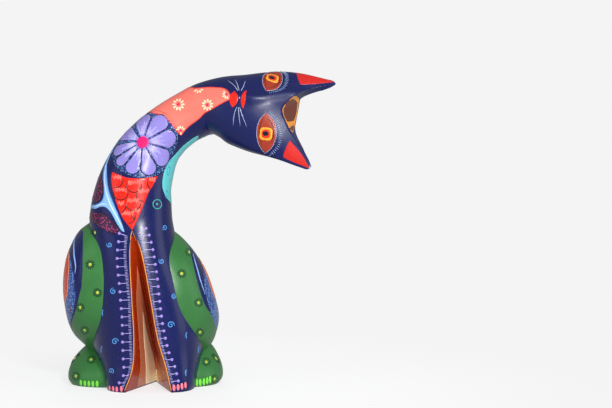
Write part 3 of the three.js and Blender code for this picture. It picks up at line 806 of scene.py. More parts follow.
def turned_bar(name, length, gap=0.0):
    """A tapered round bar along the peg's axis, from inside the tail, with a gap all round for its hole."""
    across = np.array([1.0, 0, 0])
    axes = (across, np.cross(-tail_out, across))
    rings = []
    for reach, diameter in ((0, peg_diameter), (length, peg_tip_diameter)):
        r = diameter / 2 + gap
        section = carved_section(r, r, r, 2, 2, count=peg_sides)
        rings.append(place_section(section, peg_start - tail_out * reach, axes))
    return lofted(name, np.array(rings), [copal])


combine(tail, turned_bar("peg", peg_lead + peg_length), "UNION")
combine(trunk, turned_bar("hole", peg_lead + peg_length + peg_end_gap, fit_gap), "DIFFERENCE")
soften(trunk)
soften(tail)

# Trunk and tail are only finished now, with the hole and the peg in them.
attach(trunk, "figure")
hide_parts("trunk")
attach(tail, "tail")
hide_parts("tail")

# The dowels across the glue joints at the chest, the throat and the haunches: turned copal rod, glued in
# and hidden. The solids are shown as they are.
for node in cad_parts:
    if "dowel" in node:
        dowel = bpy.data.objects[node]
        dowel.data.materials.clear()
        dowel.data.materials.append(copal)

# The lining of the cut between the front legs: both walls are painted rust, with a brown stripe on it that
# widens to the floor and a pale ochre one on that. An amber line runs up each edge and meets at the top.

# Like all areas and lines of the pattern, they are thin coats of paint with a little height. Each is drawn on
# a flat canvas, and a function such as by_eye lays the canvas on the sanded wood.
figure_skin = skin_of(trunk, neck, head, *legs.values())
px_mm, edge_sink, paint_bed, edge_band, triangle_rise = 0.815, 0.15, 0.4, 0.45, 0.866


def by_eye(pixel):
    """Lays a point of the photograph on the finished figure."""
    return seen_on(figure_skin, pixel)[:2]


def rim_of(runs, step=0.8):
    """A closed edge from runs of points, each smooth in itself, that meet in corners."""
    return np.concatenate([curve_through(run, step=step)[:-1] for run in runs])


def cross2(a, b):
    return a[..., 0] * b[..., 1] - a[..., 1] * b[..., 0]


def edge_distance(points, rim):
    """Distance of points to a closed edge, negative outside it."""
    start, run = rim, np.roll(rim, -1, axis=0) - rim
    away = points[:, None] - start[None]
    share = np.clip((away * run).sum(2) / ((run * run).sum(1) + 1e-12), 0, 1)
    distance = norm(away - share[:, :, None] * run, axis=2).min(1)
    end = np.roll(rim, -1, axis=0)
    over = (start[None, :, 1] > points[:, None, 1]) != (end[None, :, 1] > points[:, None, 1])
    rise = np.where(np.abs(run[:, 1]) < 1e-12, 1e-12, run[:, 1])
    cut = start[:, 0] + (points[:, None, 1] - start[:, 1]) / rise * run[:, 0]
    within = (over & (points[:, None, 0] < cut)).sum(1) % 2 == 1
    return np.where(within, distance, -distance)


def open_pot():
    """What is painted with one set of brushes, before it dries into a piece."""
    return {"points": [], "faces": [], "coats": [], "marks": []}


def lay_patch(pot, rim, lay, grain=1.4, height=0.14, coat=0, scale=px_mm):
    """Paints an area: a thin closed skin whose edge dips into the wood all round."""
    rim = np.asarray(rim, float)
    if cross2(rim, np.roll(rim, -1, axis=0)).sum() < 0:
        rim = rim[::-1]
    run = np.roll(rim, -1, axis=0) - rim
    run = run / (norm(run, axis=1)[:, None] + 1e-12)
    side = np.stack([-run[:, 1], run[:, 0]], axis=1)
    side = side + np.roll(side, 1, axis=0)
    band = edge_band * grain
    inner = rim + side / (norm(side, axis=1)[:, None] + 1e-12) * band
    low, high = rim.min(0), rim.max(0)
    rows = np.arange(low[1], high[1], grain * triangle_rise)
    grid = [(x + (row % 2) * grain / 2, y) for row, y in enumerate(rows)
            for x in np.arange(low[0], high[0], grain)]
    inner = inner[edge_distance(inner, rim) > 0.8 * band]
    grid = np.array(grid)
    grid = grid[edge_distance(grid, rim) > 1.6 * band]
    points = np.concatenate([rim, inner, grid])
    loop = [(i, (i + 1) % len(rim)) for i in range(len(rim))]
    flat, _, triangles, *_ = geometry.delaunay_2d_cdt(
        [Vector(p) for p in points], loop, [list(range(len(rim)))], 1, 1e-5, False
    )
    flat = np.array([tuple(p) for p in flat])
    depth = np.maximum(edge_distance(flat, rim), 0)
    on_edge = depth < 1e-3
    share = np.clip(depth / band, 0, 1)
    places, normals = map(np.array, zip(*(lay(p) for p in flat)))
    lift = -edge_sink + (height + edge_sink) * eased(share)
    top = places + normals * lift[:, None]
    start = len(pot["points"])
    pot["points"] += list(top)
    pot["marks"] += [p * scale for p in flat]
    below = {}
    for i in np.flatnonzero(~on_edge):
        below[i] = len(pot["points"])
        pot["points"].append(places[i] - normals[i] * paint_bed)
        pot["marks"].append(flat[i] * scale)
    triangles = [t for t in triangles if not all(on_edge[i] for i in t)]
    facing = 0.0
    for a, b, c in triangles:
        facing += np.cross(top[b] - top[a], top[c] - top[a]) @ (normals[a] + normals[b] + normals[c])
    for a, b, c in triangles:
        if facing < 0:
            b, c = c, b
        pot["faces"].append((start + a, start + b, start + c))
        pot["faces"].append(tuple(below.get(i, start + i) for i in (a, c, b)))
        pot["coats"] += [coat, coat]


def lay_stroke(pot, points, lay, width, height=0.16, taper=(0.3, 0.3), step=0.8, closed=False, coat=0):
    """Paints a line: a low ridge along a path on the canvas, thinning out towards its ends."""
    path = curve_through(points, step=step, closed=closed)
    places, normals = map(np.array, zip(*(lay(p) for p in path)))
    if closed:
        along = np.roll(places, -1, axis=0) - np.roll(places, 1, axis=0)
    else:
        along = np.gradient(places, axis=0)
    across = np.cross(normals, along)
    across = across / (norm(across, axis=1)[:, None] + 1e-12)
    share = np.linspace(0, 1, len(places))
    swell = np.ones(len(places))
    if not closed:
        for place_share, length in ((share, taper[0]), (1 - share, taper[1])):
            if length:
                swell *= np.sin(np.clip(place_share / length, 0, 1) * pi / 2) ** 0.7
    half = width / 2 * np.maximum(swell, 0.02)
    profile = ((-1, -1), (-0.6, 0.72), (0, 1), (0.6, 0.72), (1, -1), (0, -2.4))
    start, ring = len(pot["points"]), len(profile)
    for place, normal, side, w in zip(places, normals, across, half):
        for x, up in profile:
            lift = height * up if up > 0 else edge_sink * up
            pot["points"].append(place + side * w * x + normal * lift)
            pot["marks"].append(np.array([x * w, 0.0]))
    count = len(places)
    for k in range(count if closed else count - 1):
        n = (k + 1) % count
        for i in range(ring):
            j = (i + 1) % ring
            pot["faces"].append(
                (start + k * ring + i, start + k * ring + j, start + n * ring + j, start + n * ring + i)
            )
            pot["coats"].append(coat)
    if not closed:
        pot["faces"].append(tuple(start + i for i in reversed(range(ring))))
        pot["faces"].append(tuple(start + (count - 1) * ring + i for i in range(ring)))
        pot["coats"] += [coat, coat]


def dry(name, pot, materials, body="figure"):
    """Turns what was painted into one piece that moves with its body."""
    made = make_mesh(name, pot["points"], pot["faces"], materials)
    made.data.polygons.foreach_set("material_index", pot["coats"])
    layer = made.data.uv_layers.new(name="brush")
    marks = np.array(pot["marks"])
    corners = np.empty(len(made.data.loops), int)
    made.data.loops.foreach_get("vertex_index", corners)
    layer.data.foreach_set("uv", marks[corners].ravel())
    with opened(made) as shape:
        bmesh.ops.triangulate(shape, faces=[f for f in shape.faces if len(f.verts) > 4])
        bmesh.ops.recalc_face_normals(shape, faces=shape.faces)
    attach(made, body)


# Warm colours, each brushed up the walls over the one before. The amber line catches the light.
# The rust, brown and ochre are mixed lighter than the real paint: painted light that makes up for the shade
# deep inside the cut.
rust = enamel("rust acrylic in the cut", "#A8320C")
warm_brown = enamel("warm brown acrylic in the cut", "#CC7C58")
ochre = enamel("pale ochre acrylic in the cut", "#FFEDC2")
amber = enamel("amber acrylic line", "#F2A23A", depth=0.05)
lining_low, lining_top, lining_step, lining_scale = 0.3, groove_top - 4, 1.4, 60
lining_film, lining_edge, wall_columns, inmost_share = 0.08, 0.985, 25, 0.04
brown_left = [[0, -0.62], [0.085, -0.67], [0.328, -0.76], [0.57, -0.71], [0.69, -0.5], [0.785, -0.3]]
brown_right = [[0, 0.55], [0.11, 0.27], [0.19, -0.02], [0.304, -0.07], [0.56, -0.16], [0.69, -0.22],
               [0.785, -0.3]]
ochre_left = [[0, -0.35], [0.15, -0.49], [0.32, -0.51], [0.496, -0.38]]
ochre_right = [[0, 0.25], [0.104, -0.03], [0.197, -0.14], [0.31, -0.24], [0.44, -0.33], [0.496, -0.38]]


def mouth_edge(z, side):
    """Where a wall of the cut comes out of the chest at a height, and its inmost line there."""
    x, half_width, depth = groove_stations(z)
    chest = trunk_stations(z)[3] - sole_centre_y
    inmost = np.array([x, chest + depth])
    out = np.array([side * half_width, -depth])
    ring = trunk_ring(z)[:, :2] - np.array([0, sole_centre_y])
    run = np.roll(ring, -1, axis=0) - ring
    lean = cross2(np.broadcast_to(out, run.shape), run)
    reach = cross2(ring - inmost, run) / lean
    share = cross2(ring - inmost, np.broadcast_to(out, ring.shape)) / lean
    found = reach[(share >= 0) & (share <= 1) & (reach > 0)]
    return np.array([*(inmost + out * found.min()), z]), np.array([*inmost, z])


def on_wall(point):
    """Lays a point (across, height) on the walls of the cut: across runs from the left edge to the right."""
    z = min(max(point[1], lining_low), lining_top)
    share = point[0] / lining_scale
    edge, inmost = mouth_edge(z, -1 if share < 0 else 1)
    wall = edge - inmost
    normal = unit(np.array([copysign(abs(wall[1]), -share), -abs(wall[0]), 0.0]))
    if abs(share) < inmost_share:
        normal = np.array([0.0, -1.0, 0.0])
    return inmost + wall * abs(share), normal


def wall_run(stations):
    """Rows of (share of the height, share of the wall) as points of the canvas."""
    return [(share * lining_scale, lining_low + 0.3 + z * groove_top) for z, share in stations]


lining_rings = []
half = np.linspace(0, lining_edge, wall_columns)
across = np.concatenate([-half[::-1], half[1:]]) * lining_scale
for z in np.linspace(lining_low, lining_top, round(groove_top / lining_step)):
    laid = [on_wall((a, z)) for a in across]
    air = [place + normal * lining_film for place, normal in laid]
    wood = [place - normal * paint_bed for place, normal in reversed(laid)]
    lining_rings.append(air + wood)
lining_pot = open_pot()
lining_rings = np.array(lining_rings)
rows, count = lining_rings.shape[:2]
lining_pot["points"] = list(lining_rings.reshape(-1, 3))
lining_pot["faces"] = grid_faces(rows, count) + [tuple(range(count))[::-1]]
lining_pot["faces"] += [tuple((rows - 1) * count + i for i in range(count))]
lining_pot["coats"] = [0] * len(lining_pot["faces"])
lining_pot["marks"] = [np.zeros(2)] * len(lining_pot["points"])
for coat, height, left, right in ((1, 0.2, brown_left, brown_right), (2, 0.32, ochre_left, ochre_right)):
    up, down = wall_run(left), wall_run(right)[::-1]
    lay_patch(lining_pot, rim_of([up, down, [down[-1], up[0]]], step=1.2), on_wall, grain=1.6, height=height,
              coat=coat)
dry("cut_lining", lining_pot, [rust, warm_brown, ochre])


def along_mouth(side, low, high, count=48):
    """Places and normals up one edge of the cut, moved out on to the chest."""
    line = []
    for z in np.linspace(low, high, count):
        before_edge = mouth_edge(z, side)[0] + (side * edge_line_out, -edge_line_ahead, 0)
        hit, normal, _, _ = figure_skin.find_nearest(Vector(before_edge))
        line.append((np.array(hit), np.array(normal)))
    return line


def on_edge_line(line):
    """A canvas of (step, 0) on a line of places and normals."""

    def lay(point):
        at = min(max(point[0], 0), len(line) - 1)
        i, j = int(at), min(int(at) + 1, len(line) - 1)
        share = at - i
        place, normal = (line[i][k] * (1 - share) + line[j][k] * share for k in (0, 1))
        return place, unit(normal)

    return lay


edge_line_out, edge_line_ahead = 0.6, 1.5
cut_tip = [[(132.2, 230.6), (131.1, 234.6), (130.4, 240)], [(132.2, 230.6), (133.9, 234.6), (136, 240.6)]]
amber_pot = open_pot()
edge_lines = {side: along_mouth(side, 0.6, groove_top - 0.5) for side in (-1, 1)}
for line in edge_lines.values():
    steps = [(i, 0) for i in range(0, len(line), 3)]
    lay_stroke(amber_pot, steps, on_edge_line(line), width=0.8, height=0.2, taper=(0.02, 0.1), step=0.4)
for line in cut_tip:
    lay_stroke(amber_pot, line, by_eye, width=0.7, height=0.22, taper=(0.3, 0.05), step=0.5)
dry("cut_edge_lines", amber_pot, [amber])

# The stitched fringe beside the cut: a row of short pale ticks along each edge, and from it on thin stalks a
# row of lilac beads that runs the length of the chest.

# Opaque pale paint in drops and short strokes, each with its own point of light.
lilac = enamel("lilac acrylic", "#9F86DC", depth=0.05)
pale_violet = enamel("pale violet acrylic", "#C2B8F2", depth=0.05)
fringe_lines = {
    -1: [(127.3, 236), (126.3, 253), (127.3, 269), (129, 285.5), (130.6, 300), (131.3, 325.5), (131.9, 344.6),
         (132.5, 360.6), (131.3, 372), (125.5, 383), (123.6, 388)],
    1: [(137.6, 234), (140.9, 243), (142.5, 253), (144.7, 264), (147.4, 280), (149, 296), (151, 306),
        (152.9, 322), (154.8, 335), (157.4, 347), (160.6, 357), (163.8, 367), (167.6, 378), (172.7, 387)],
}
bead_lines = {
    -1: [(119.2, 233.4), (118.4, 242.6), (117, 255), (117.6, 269.5), (119.5, 287.4), (120.7, 303.8),
         (122, 317.9), (122.4, 341.1), (123.1, 357.3), (123.6, 374), (119.1, 382.9)],
    1: [(146, 228.4), (149, 234.8), (153, 250.2), (155.3, 264.3), (157.5, 279.3), (158.9, 295.3),
        (160.5, 309.4), (162.5, 323.7), (165.2, 337.6), (168.6, 351.7), (174.6, 366.3), (178.3, 381)],
}
bead_counts = {-1: 19, 1: 22}
bead_size, tick_size, tick_spacing = (1.25, 1.25, 0.7), (1.4, 0.17, 0.28), 1.5
edge_clearance = 0.9
random.seed(11)


def dab_tree():
    """Small round touches of the brush: one flattened bead on each point, turned and sized by the point."""
    tree = bpy.data.node_groups.new("touches of the brush", "GeometryNodeTree")
    kinds = {"Geometry": "Geometry", "Segments": "Int", "Rings": "Int", "Paint": "Material"}
    sockets = {label: tree.interface.new_socket(label, in_out="INPUT", socket_type=f"NodeSocket{kind}")
               for label, kind in kinds.items()}
    tree.interface.new_socket("Geometry", in_out="OUTPUT", socket_type="NodeSocketGeometry")
    source = add(tree, "NodeGroupInput")
    bead = add(
        tree,
        "GeometryNodeMeshUVSphere",
        {"Segments": source.outputs["Segments"], "Rings": source.outputs["Rings"], "Radius": 1.0},
    )
    up, along, size = (add(tree, "GeometryNodeInputNamedAttribute", {"Name": name}, data_type="FLOAT_VECTOR")
                       for name in ("up", "along", "size"))
    turned = add(
        tree,
        "FunctionNodeAxesToRotation",
        {"Primary Axis": up.outputs["Attribute"], "Secondary Axis": along.outputs["Attribute"]},
        primary_axis="Z",
        secondary_axis="X",
    )
    placed = add(
        tree,
        "GeometryNodeInstanceOnPoints",
        {"Points": source.outputs["Geometry"], "Instance": bead.outputs["Mesh"],
         "Rotation": turned.outputs["Rotation"], "Scale": size.outputs["Attribute"]},
    )
    single = add(tree, "GeometryNodeRealizeInstances", {"Geometry": placed.outputs[0]})
    smooth = add(tree, "GeometryNodeSetShadeSmooth", {"Geometry": single.outputs[0]})
    coloured = add(
        tree, "GeometryNodeSetMaterial", {"Geometry": smooth.outputs[0], "Material": source.outputs["Paint"]}
    )
    add(tree, "NodeGroupOutput", {"Geometry": coloured.outputs[0]})
    return tree, *(sockets[label].identifier for label in ("Segments", "Rings", "Paint"))


touches, touch_segments, touch_rings, touch_paint = dab_tree()


def dab(marks, point, lay, size, towards=(0, -1), lift=0.0):
    """Notes one touch of the brush: where, half its length, width and height in mm, and its direction."""
    place, normal = lay(point)
    other, _ = lay(np.asarray(point, float) + np.array(towards) * 0.5)
    along = other - place
    along = unit(along - normal * (along @ normal))
    marks.append((place + normal * lift, normal, along, size))


def press(name, marks, paint, body="figure", segments=8, rings=5):
    """Makes all noted touches of one paint into one piece."""
    mesh = bpy.data.meshes.new(name)
    mesh.from_pydata([tuple(np.array(m[0]) * MM) for m in marks], [], [])
    for i, (label, scale) in enumerate((("up", 1), ("along", 1), ("size", MM)), start=1):
        values = np.array([np.array(m[i], float) * scale for m in marks])
        mesh.attributes.new(label, "FLOAT_VECTOR", "POINT").data.foreach_set("vector", values.ravel())
    source = bpy.data.objects.new(name, mesh)
    scene.collection.objects.link(source)
    step = source.modifiers.new("touches", "NODES")
    step.node_group = touches
    step[touch_segments], step[touch_rings], step[touch_paint] = segments, rings, paint
    graph = bpy.context.evaluated_depsgraph_get()
    pressed = bpy.data.meshes.new_from_object(source.evaluated_get(graph))
    source.modifiers.clear()
    source.data = pressed
    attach(source, body)


def along_line(points, count):
    """Evenly spaced points on a smooth line."""
    fine = curve_through(points, step=0.3)
    run = np.concatenate([[0], np.cumsum(norm(np.diff(fine, axis=0), axis=1))])
    marks = np.linspace(0, run[-1], count)
    return np.stack([np.interp(marks, run, fine[:, k]) for k in (0, 1)], axis=1)


def pixel_of(place):
    """Where a place on the figure is seen in the photograph."""
    way = place - camera_place
    depth = way @ sight
    return np.array([photo_width / 2 + focal_pixels * (way @ sight_right) / depth,
                     photo_height / 2 - focal_pixels * (way @ sight_up) / depth])


beads, ticks, stalks = [], [], open_pot()
for side, line in fringe_lines.items():
    mouth = np.array([pixel_of(place) for place, _ in edge_lines[side]])[::-1]
    line = [(side * max(side * x, side * np.interp(y, mouth[:, 1], mouth[:, 0]) + edge_clearance), y)
            for x, y in line]
    fine = curve_through(line, step=0.5)
    count = round(norm(np.diff(fine, axis=0), axis=1).sum() / tick_spacing)
    for point in along_line(line, count):
        tip = point + np.array([side * random.uniform(1.2, 1.5), random.uniform(-0.25, 0.25)])
        length = tick_size[0] * random.uniform(0.85, 1.15)
        dab(ticks, tip, by_eye, (length, *tick_size[1:]), towards=tip - point)
    for bead in along_line(bead_lines[side], bead_counts[side]):
        root = fine[np.argmin(np.abs(fine[:, 1] - bead[1] - side * 0.4))]
        dab(beads, bead, by_eye, bead_size)
        lay_stroke(stalks, [root + (bead - root) * 0.1, bead], by_eye, width=0.5, taper=(0.15, 0.05))
press("fringe_ticks", ticks, pale_violet)
press("fringe_beads", beads, lilac, segments=12, rings=8)
dry("fringe_stalks", stalks, [pale_violet])

# Small blue spirals and drops between the larger ornaments, each put on with one turn of a thin brush. A teal
# ring with a dot stands beside the red scales.

# Light blues over the navy, a little raised, thinning out at the end of the stroke.
sky = enamel("sky blue acrylic", "#4F94DC", depth=0.05)
teal = enamel("teal acrylic", "#3FB8A6", depth=0.05)
spirals = [(109.4, 244.7, 2.9), (113.2, 291.2, 3.3), (114.9, 341.7, 3.6), (110.9, 371, 3.0),
           (164.5, 227.2, 2.8), (161.6, 261, 3.0), (174.2, 296.6, 2.8), (170.8, 325, 3.7)]
drops = [(102.5, 313), (101.3, 349.7), (186.3, 335.4), (198.6, 349.7), (185.9, 372.7)]
spiral_turns, spiral_width = 1.6, 1.05


def spiral(pot, centre, radius, lay, turn=0.0):
    line = [
        (centre[0] + radius * share * cos(turn + spiral_turns * 2 * pi * share),
         centre[1] + radius * share * sin(turn + spiral_turns * 2 * pi * share))
        for share in np.linspace(0.08, 1, 22)
    ]
    lay_stroke(pot, line, lay, width=spiral_width, height=0.2, taper=(0.1, 0.25), step=0.6)


def oval(centre, half_width, half_height, count):
    """Points round an oval of the canvas."""
    turns = np.linspace(0, 2 * pi, count + 1)[:-1]
    return [(centre[0] + half_width * cos(a), centre[1] + half_height * sin(a)) for a in turns]


spiral_pot = open_pot()
for i, (x, y, radius) in enumerate(spirals):
    spiral(spiral_pot, (x, y), radius, by_eye, i * 1.3)
for x, y in drops:
    lay_stroke(spiral_pot, [(x + 0.5, y - 3.6), (x - 0.3, y), (x + 0.3, y + 3.4)], by_eye, width=1.5,
               height=0.2)
lay_stroke(spiral_pot, oval((157.3, 204.2), 4.3, 4.6, 12), by_eye, width=0.8, height=0.2, closed=True, coat=1)
lay_stroke(spiral_pot, [(157.1, 202.8), (157.2, 205.2)], by_eye, width=2.6, height=0.25, taper=(0.5, 0.5),
           step=0.5, coat=1)
dry("blue_spirals", spiral_pot, [sky, teal])

# The flower on the curve of the neck: a round field stippled in two blues, with nine lilac petals that the
# brush has pulled out from the middle in fine streaks, and a raised magenta heart.

# Dark blue stippled light, coarser than the real 1 mm so that it shows. The lilac is even, the white over it
# dry, and the thick magenta shines.
stippled_blue = enamel("blue field stippled with a fine brush", "#16306E", second="#6FA6DC",
                       size_mm=(1.5, 1.5, 1.5), share=0.34, depth=0.1)
petal_lilac = enamel("lilac acrylic of the petals", "#8F84D2", tone=0.08, depth=0.08)
petal_light = enamel("white lilac acrylic, pulled out dry", "#CFC9F4", depth=0.05)
deep_blue = enamel("blue black acrylic outline", "#0B1038", depth=0.05)
magenta = enamel("magenta acrylic", "#E0146E", depth=0.1)
flower_pixel, flower_radius, petal_reach, heart_radius = (142.7, 142.2), 28.6, 26.8, 5.0
petal_gaps = [-74, -30, 13, 57, 94.5, 127, 153, 184, 241, 286]
petal_rim_width, petal_roundness, petal_gap, pulls_per_petal, wrap_steps = 0.8, 0.9, 0.5, 9, 9
spine_skin = BVHTree.FromPolygons(
    [tuple(p) for p in spine.reshape(-1, 3)], [face[::-1] for face in grid_faces(len(spine), sides)]
)


def wrapped_from(pixel):
    """A canvas in millimetres that is laid on the skin from one point and follows its curve every way."""
    place, normal, _ = seen_on(spine_skin, pixel)
    right = unit(sight_right - sight * (sight_right @ normal) / (sight @ normal))
    down = unit(-sight_up + sight * (sight_up @ normal) / (sight @ normal))

    def lay(point):
        reach = hypot(*point)
        here, up = place, normal
        if reach < 1e-6:
            return here, up
        way = unit(right * point[0] + down * point[1])
        for _ in range(wrap_steps):
            way = unit(way - up * (way @ up))
            hit, facing, _, _ = spine_skin.find_nearest(Vector(here + way * reach / wrap_steps))
            here, up = np.array(hit), np.array(facing)
        return here, up

    return lay


def petal(inner, reach, half_angle, direction, grow=0.0):
    """The rim of a petal: straight sides that open from the heart, and a round end."""
    shoulder = reach / (1 + petal_roundness * tan(half_angle))
    half = shoulder * tan(half_angle) - petal_gap + grow
    ends = np.linspace(pi / 2, -pi / 2, 15)
    side = [(inner + (shoulder - inner) * s, (inner / shoulder + (1 - inner / shoulder) * s) * half)
            for s in np.linspace(0, 1, 12)]
    cap = [(shoulder + (reach + grow - shoulder) * cos(a), half * sin(a)) for a in ends]
    back = [(x, -y) for x, y in reversed(side)]
    rim = np.array(side[:-1] + cap + back[1:])
    c, s = cos(direction), sin(direction)
    return rim @ np.array([[c, s], [-s, c]])


on_flower = wrapped_from(flower_pixel)
flower = open_pot()
circle = oval((0, 0), flower_radius, flower_radius, 89)
lay_patch(flower, circle, on_flower, grain=1.5, height=0.1, scale=1)
lay_stroke(flower, circle[::3], on_flower, width=1.0, closed=True, coat=3)
pulls = []
for first, last in zip(petal_gaps, petal_gaps[1:]):
    middle, half = radians((first + last) / 2), radians((last - first) / 2)
    narrow = min(half, radians(22))
    lay_patch(flower, petal(3, petal_reach, narrow, middle, petal_rim_width), on_flower, grain=1.3,
              height=0.18, coat=3, scale=1)
    lay_patch(flower, petal(3.6, petal_reach, narrow, middle), on_flower, grain=1.2, height=0.3, coat=1,
              scale=1)
    for k in range(pulls_per_petal):
        turn = middle + narrow * 0.62 * (2 * k / (pulls_per_petal - 1) - 1)
        way = np.array([cos(turn), sin(turn)])
        length = random.uniform(2.4, 7.4)
        dab(pulls, way * (heart_radius + 0.4 + length), on_flower, (length, 0.2, 0.34), towards=way, lift=0.1)
heart = oval((0, 0), heart_radius, heart_radius, 39)
lay_patch(flower, heart, on_flower, grain=1.0, height=0.5, coat=2, scale=1)
dry("neck_flower", flower, [stippled_blue, petal_lilac, magenta, deep_blue])
press("petal_pulls", pulls, petal_light)

# The red field of scales under the flower, pointed down to the cut: rows of round scales outlined with a thin
# dark line, each with a comb of pale strokes from its upper edge.

# Opaque scarlet with a satin sheen, a thin near black line and pale dry strokes.
scarlet = enamel("scarlet acrylic", "#E8200F")
soft_pink = enamel("pale pink acrylic strokes", "#FF9A8E", depth=0.05)
dark_line = enamel("black brown acrylic line", "#3A0D12", depth=0.05)
scale_rim = [
    [(111.8, 171.4), (119.4, 174.6), (127.5, 177.3), (138.4, 177.9), (149.2, 176.8), (158.6, 175.6)],
    [(158.6, 175.6), (153.4, 185.6), (149.2, 192.5), (143.8, 206), (138.4, 218.5), (132.2, 231)],
    [(132.2, 231), (127.5, 225), (122, 217.5), (116.7, 205), (112.3, 190.4), (110.7, 178), (111.8, 171.4)],
]
scale_radius = 7.6
scales = [(115.5, 180), (133.9, 184.8), (154.8, 182.5), (120.6, 192.4), (143.8, 193.6), (133.2, 202.8),
          (118.3, 206), (138.6, 213), (127.6, 216)]
streaks_per_scale, streak_spread = 11, 5.4


def inside(point, rim, margin):
    """Whether a point lies within an edge by more than a margin."""
    return edge_distance(np.array([point], float), rim)[0] > margin


scale_edge = rim_of(scale_rim)
scale_pot = open_pot()
lay_patch(scale_pot, scale_edge, by_eye, grain=1.6)
for x, y in scales:
    arc = [(x + scale_radius * cos(a), y + scale_radius * sin(a)) for a in np.linspace(-0.15, 3.3, 16)]
    kept = [p for p in arc if inside(p, scale_edge, 0.5)]
    if len(kept) > 3:
        lay_stroke(scale_pot, kept, by_eye, width=1.25, height=0.26, taper=(0.15, 0.15), coat=1)
combs = []
for x, y in scales:
    for k in range(streaks_per_scale):
        at = (x + streak_spread * (2 * k / (streaks_per_scale - 1) - 1), y - 2.6 + random.uniform(-0.9, 0.9))
        if inside(at, scale_edge, 1.6):
            dab(combs, at, by_eye, (random.uniform(1.2, 2.7), 0.24, 0.32),
                towards=(random.uniform(-0.08, 0.08), 1))
dry("red_scales", scale_pot, [scarlet, dark_line])
press("scale_strokes", combs, soft_pink)

# The coral panel over the top of the neck, edged with scarlet and strewn with cream daisies. It runs on over
# the back of the neck to a round end.

# An even coral ground with a bright edge line, and thick cream touches that stand up from it.
coral = enamel("coral pink acrylic", "#F9796A", tone=0.07)
vermilion = enamel("vermilion acrylic line", "#F23A1E", depth=0.05)
cream = enamel("cream acrylic", "#FFE4BC", depth=0.05)
panel_lower = [(145.8, 113.4), (152, 113), (158, 114.6), (169, 121), (176.5, 131), (181, 135.4)]
panel_right = [(181, 135.4), (187.6, 127.5), (200.6, 117.3), (217, 106), (229.2, 99.6)]
panel_upper = [(229.2, 99.6), (230, 95), (224.6, 88.9), (213.5, 87.4), (196.9, 88.2)]
panel_behind = [(188, 90, 12), (176, 95, 20), (164, 101, 22), (153, 108, 16)]
daisies = [(178.4, 104.4, 6.6), (207.4, 104.9, 6.2), (226.8, 94.3, 5), (198.3, 87.9, 5.8),
           (180.5, 130.4, 4.8)]
daisy_petals, behind_reach = 10, 5.5
daisies_behind = ((180, 108), (184, 122), (194, 132), (204, 122), (216, 112), (226, 104))
seam_column = 180


def laid_on(grid):
    """A canvas of (row, column) on a closed grid of rings."""
    rows, columns = grid.shape[:2]
    normals = np.cross(np.gradient(grid, axis=0), np.roll(grid, -1, axis=1) - np.roll(grid, 1, axis=1))
    normals /= norm(normals, axis=2)[:, :, None] + 1e-12

    def lay(point):
        row = min(max(point[0], 0), rows - 1.001)
        r, c = int(row), int(floor(point[1]))
        up, on = row - r, point[1] - c
        c, c2 = c % columns, (c + 1) % columns
        shares = (((1 - up) * (1 - on), r, c), ((1 - up) * on, r, c2), (up * (1 - on), r + 1, c),
                  (up * on, r + 1, c2))
        place = sum(share * grid[a, b] for share, a, b in shares)
        return place, unit(sum(share * normals[a, b] for share, a, b in shares))

    return lay


on_skin = laid_on(spine)


def skin_point(pixel, further=0):
    """The (row, column) under a pixel, moved further round the block by a number of columns."""
    place, _, face = seen_on(spine_skin, pixel)
    r, c = divmod(face, sides)
    corner, beside, above = spine[r, c], spine[r, (c + 1) % sides], spine[r + 1, c]
    round_it = (place - corner) @ (beside - corner) / ((beside - corner) @ (beside - corner) + 1e-12)
    up = (place - corner) @ (above - corner) / ((above - corner) @ (above - corner) + 1e-12)
    column = c + min(max(round_it, 0), 1)
    if column > seam_column:
        column -= sides
    return np.array([r + min(max(up, 0), 1), column + further])


def front_run(pixels):
    return [skin_point(pixel) for pixel in pixels]


def behind_run(places):
    """Points past the outline of the figure: the pixel at its edge and how many columns further round."""
    return [skin_point((x, y), further) for x, y, further in places]


panel_pot = open_pot()
panel_rim = [front_run(panel_lower), front_run(panel_right),
             front_run(panel_upper) + behind_run(panel_behind)]
panel_rim[-1].append(panel_rim[0][0])
panel_line = rim_of(panel_rim, step=1.0)
lay_patch(panel_pot, panel_line, on_skin, grain=1.6)
for run in panel_rim:
    lay_stroke(panel_pot, run, on_skin, width=0.9, height=0.22, taper=(0, 0), step=1.0, coat=1)
dry("coral_panel", panel_pot, [coral, vermilion])


def daisy(petals, hearts, centre, lay, reach, turn, keep=lambda p: True):
    """One daisy: a ring of short cream touches round a magenta heart."""
    for k in range(daisy_petals):
        a = turn + 2 * pi * k / daisy_petals
        way = np.array([cos(a), sin(a)])
        at = np.array(centre) + way * reach * 0.68
        if keep(at):
            dab(petals, at, lay, (reach * 0.32 * px_mm, 0.17 * reach * px_mm, 0.3), towards=way, lift=0.12)
    if keep(centre):
        dab(hearts, centre, lay, (reach * 0.23 * px_mm, reach * 0.23 * px_mm, 0.4), lift=0.12)


panel_edge = rim_of([panel_lower, panel_right, panel_upper + [(186, 88), (170, 92), (150, 104),
                                                              panel_lower[0]]])
daisy_leaves, daisy_hearts = [], []
for i, (x, y, reach) in enumerate(daisies):
    daisy(daisy_leaves, daisy_hearts, (x, y), by_eye, reach, i, lambda p: inside(p, panel_edge, 1.0))
for row, column in daisies_behind:
    if inside((row, column), panel_line, 4.5):
        daisy(daisy_leaves, daisy_hearts, (row, column), on_skin, behind_reach, row)
press("daisy_petals", daisy_leaves, cream, rings=6)
press("daisy_hearts", daisy_hearts, magenta, segments=12, rings=7)

# The turquoise leaf in the inner bend of the neck, laid in flat with a round brush. It runs on behind the
# bend, and bears faint blue rings drawn with a thin one.

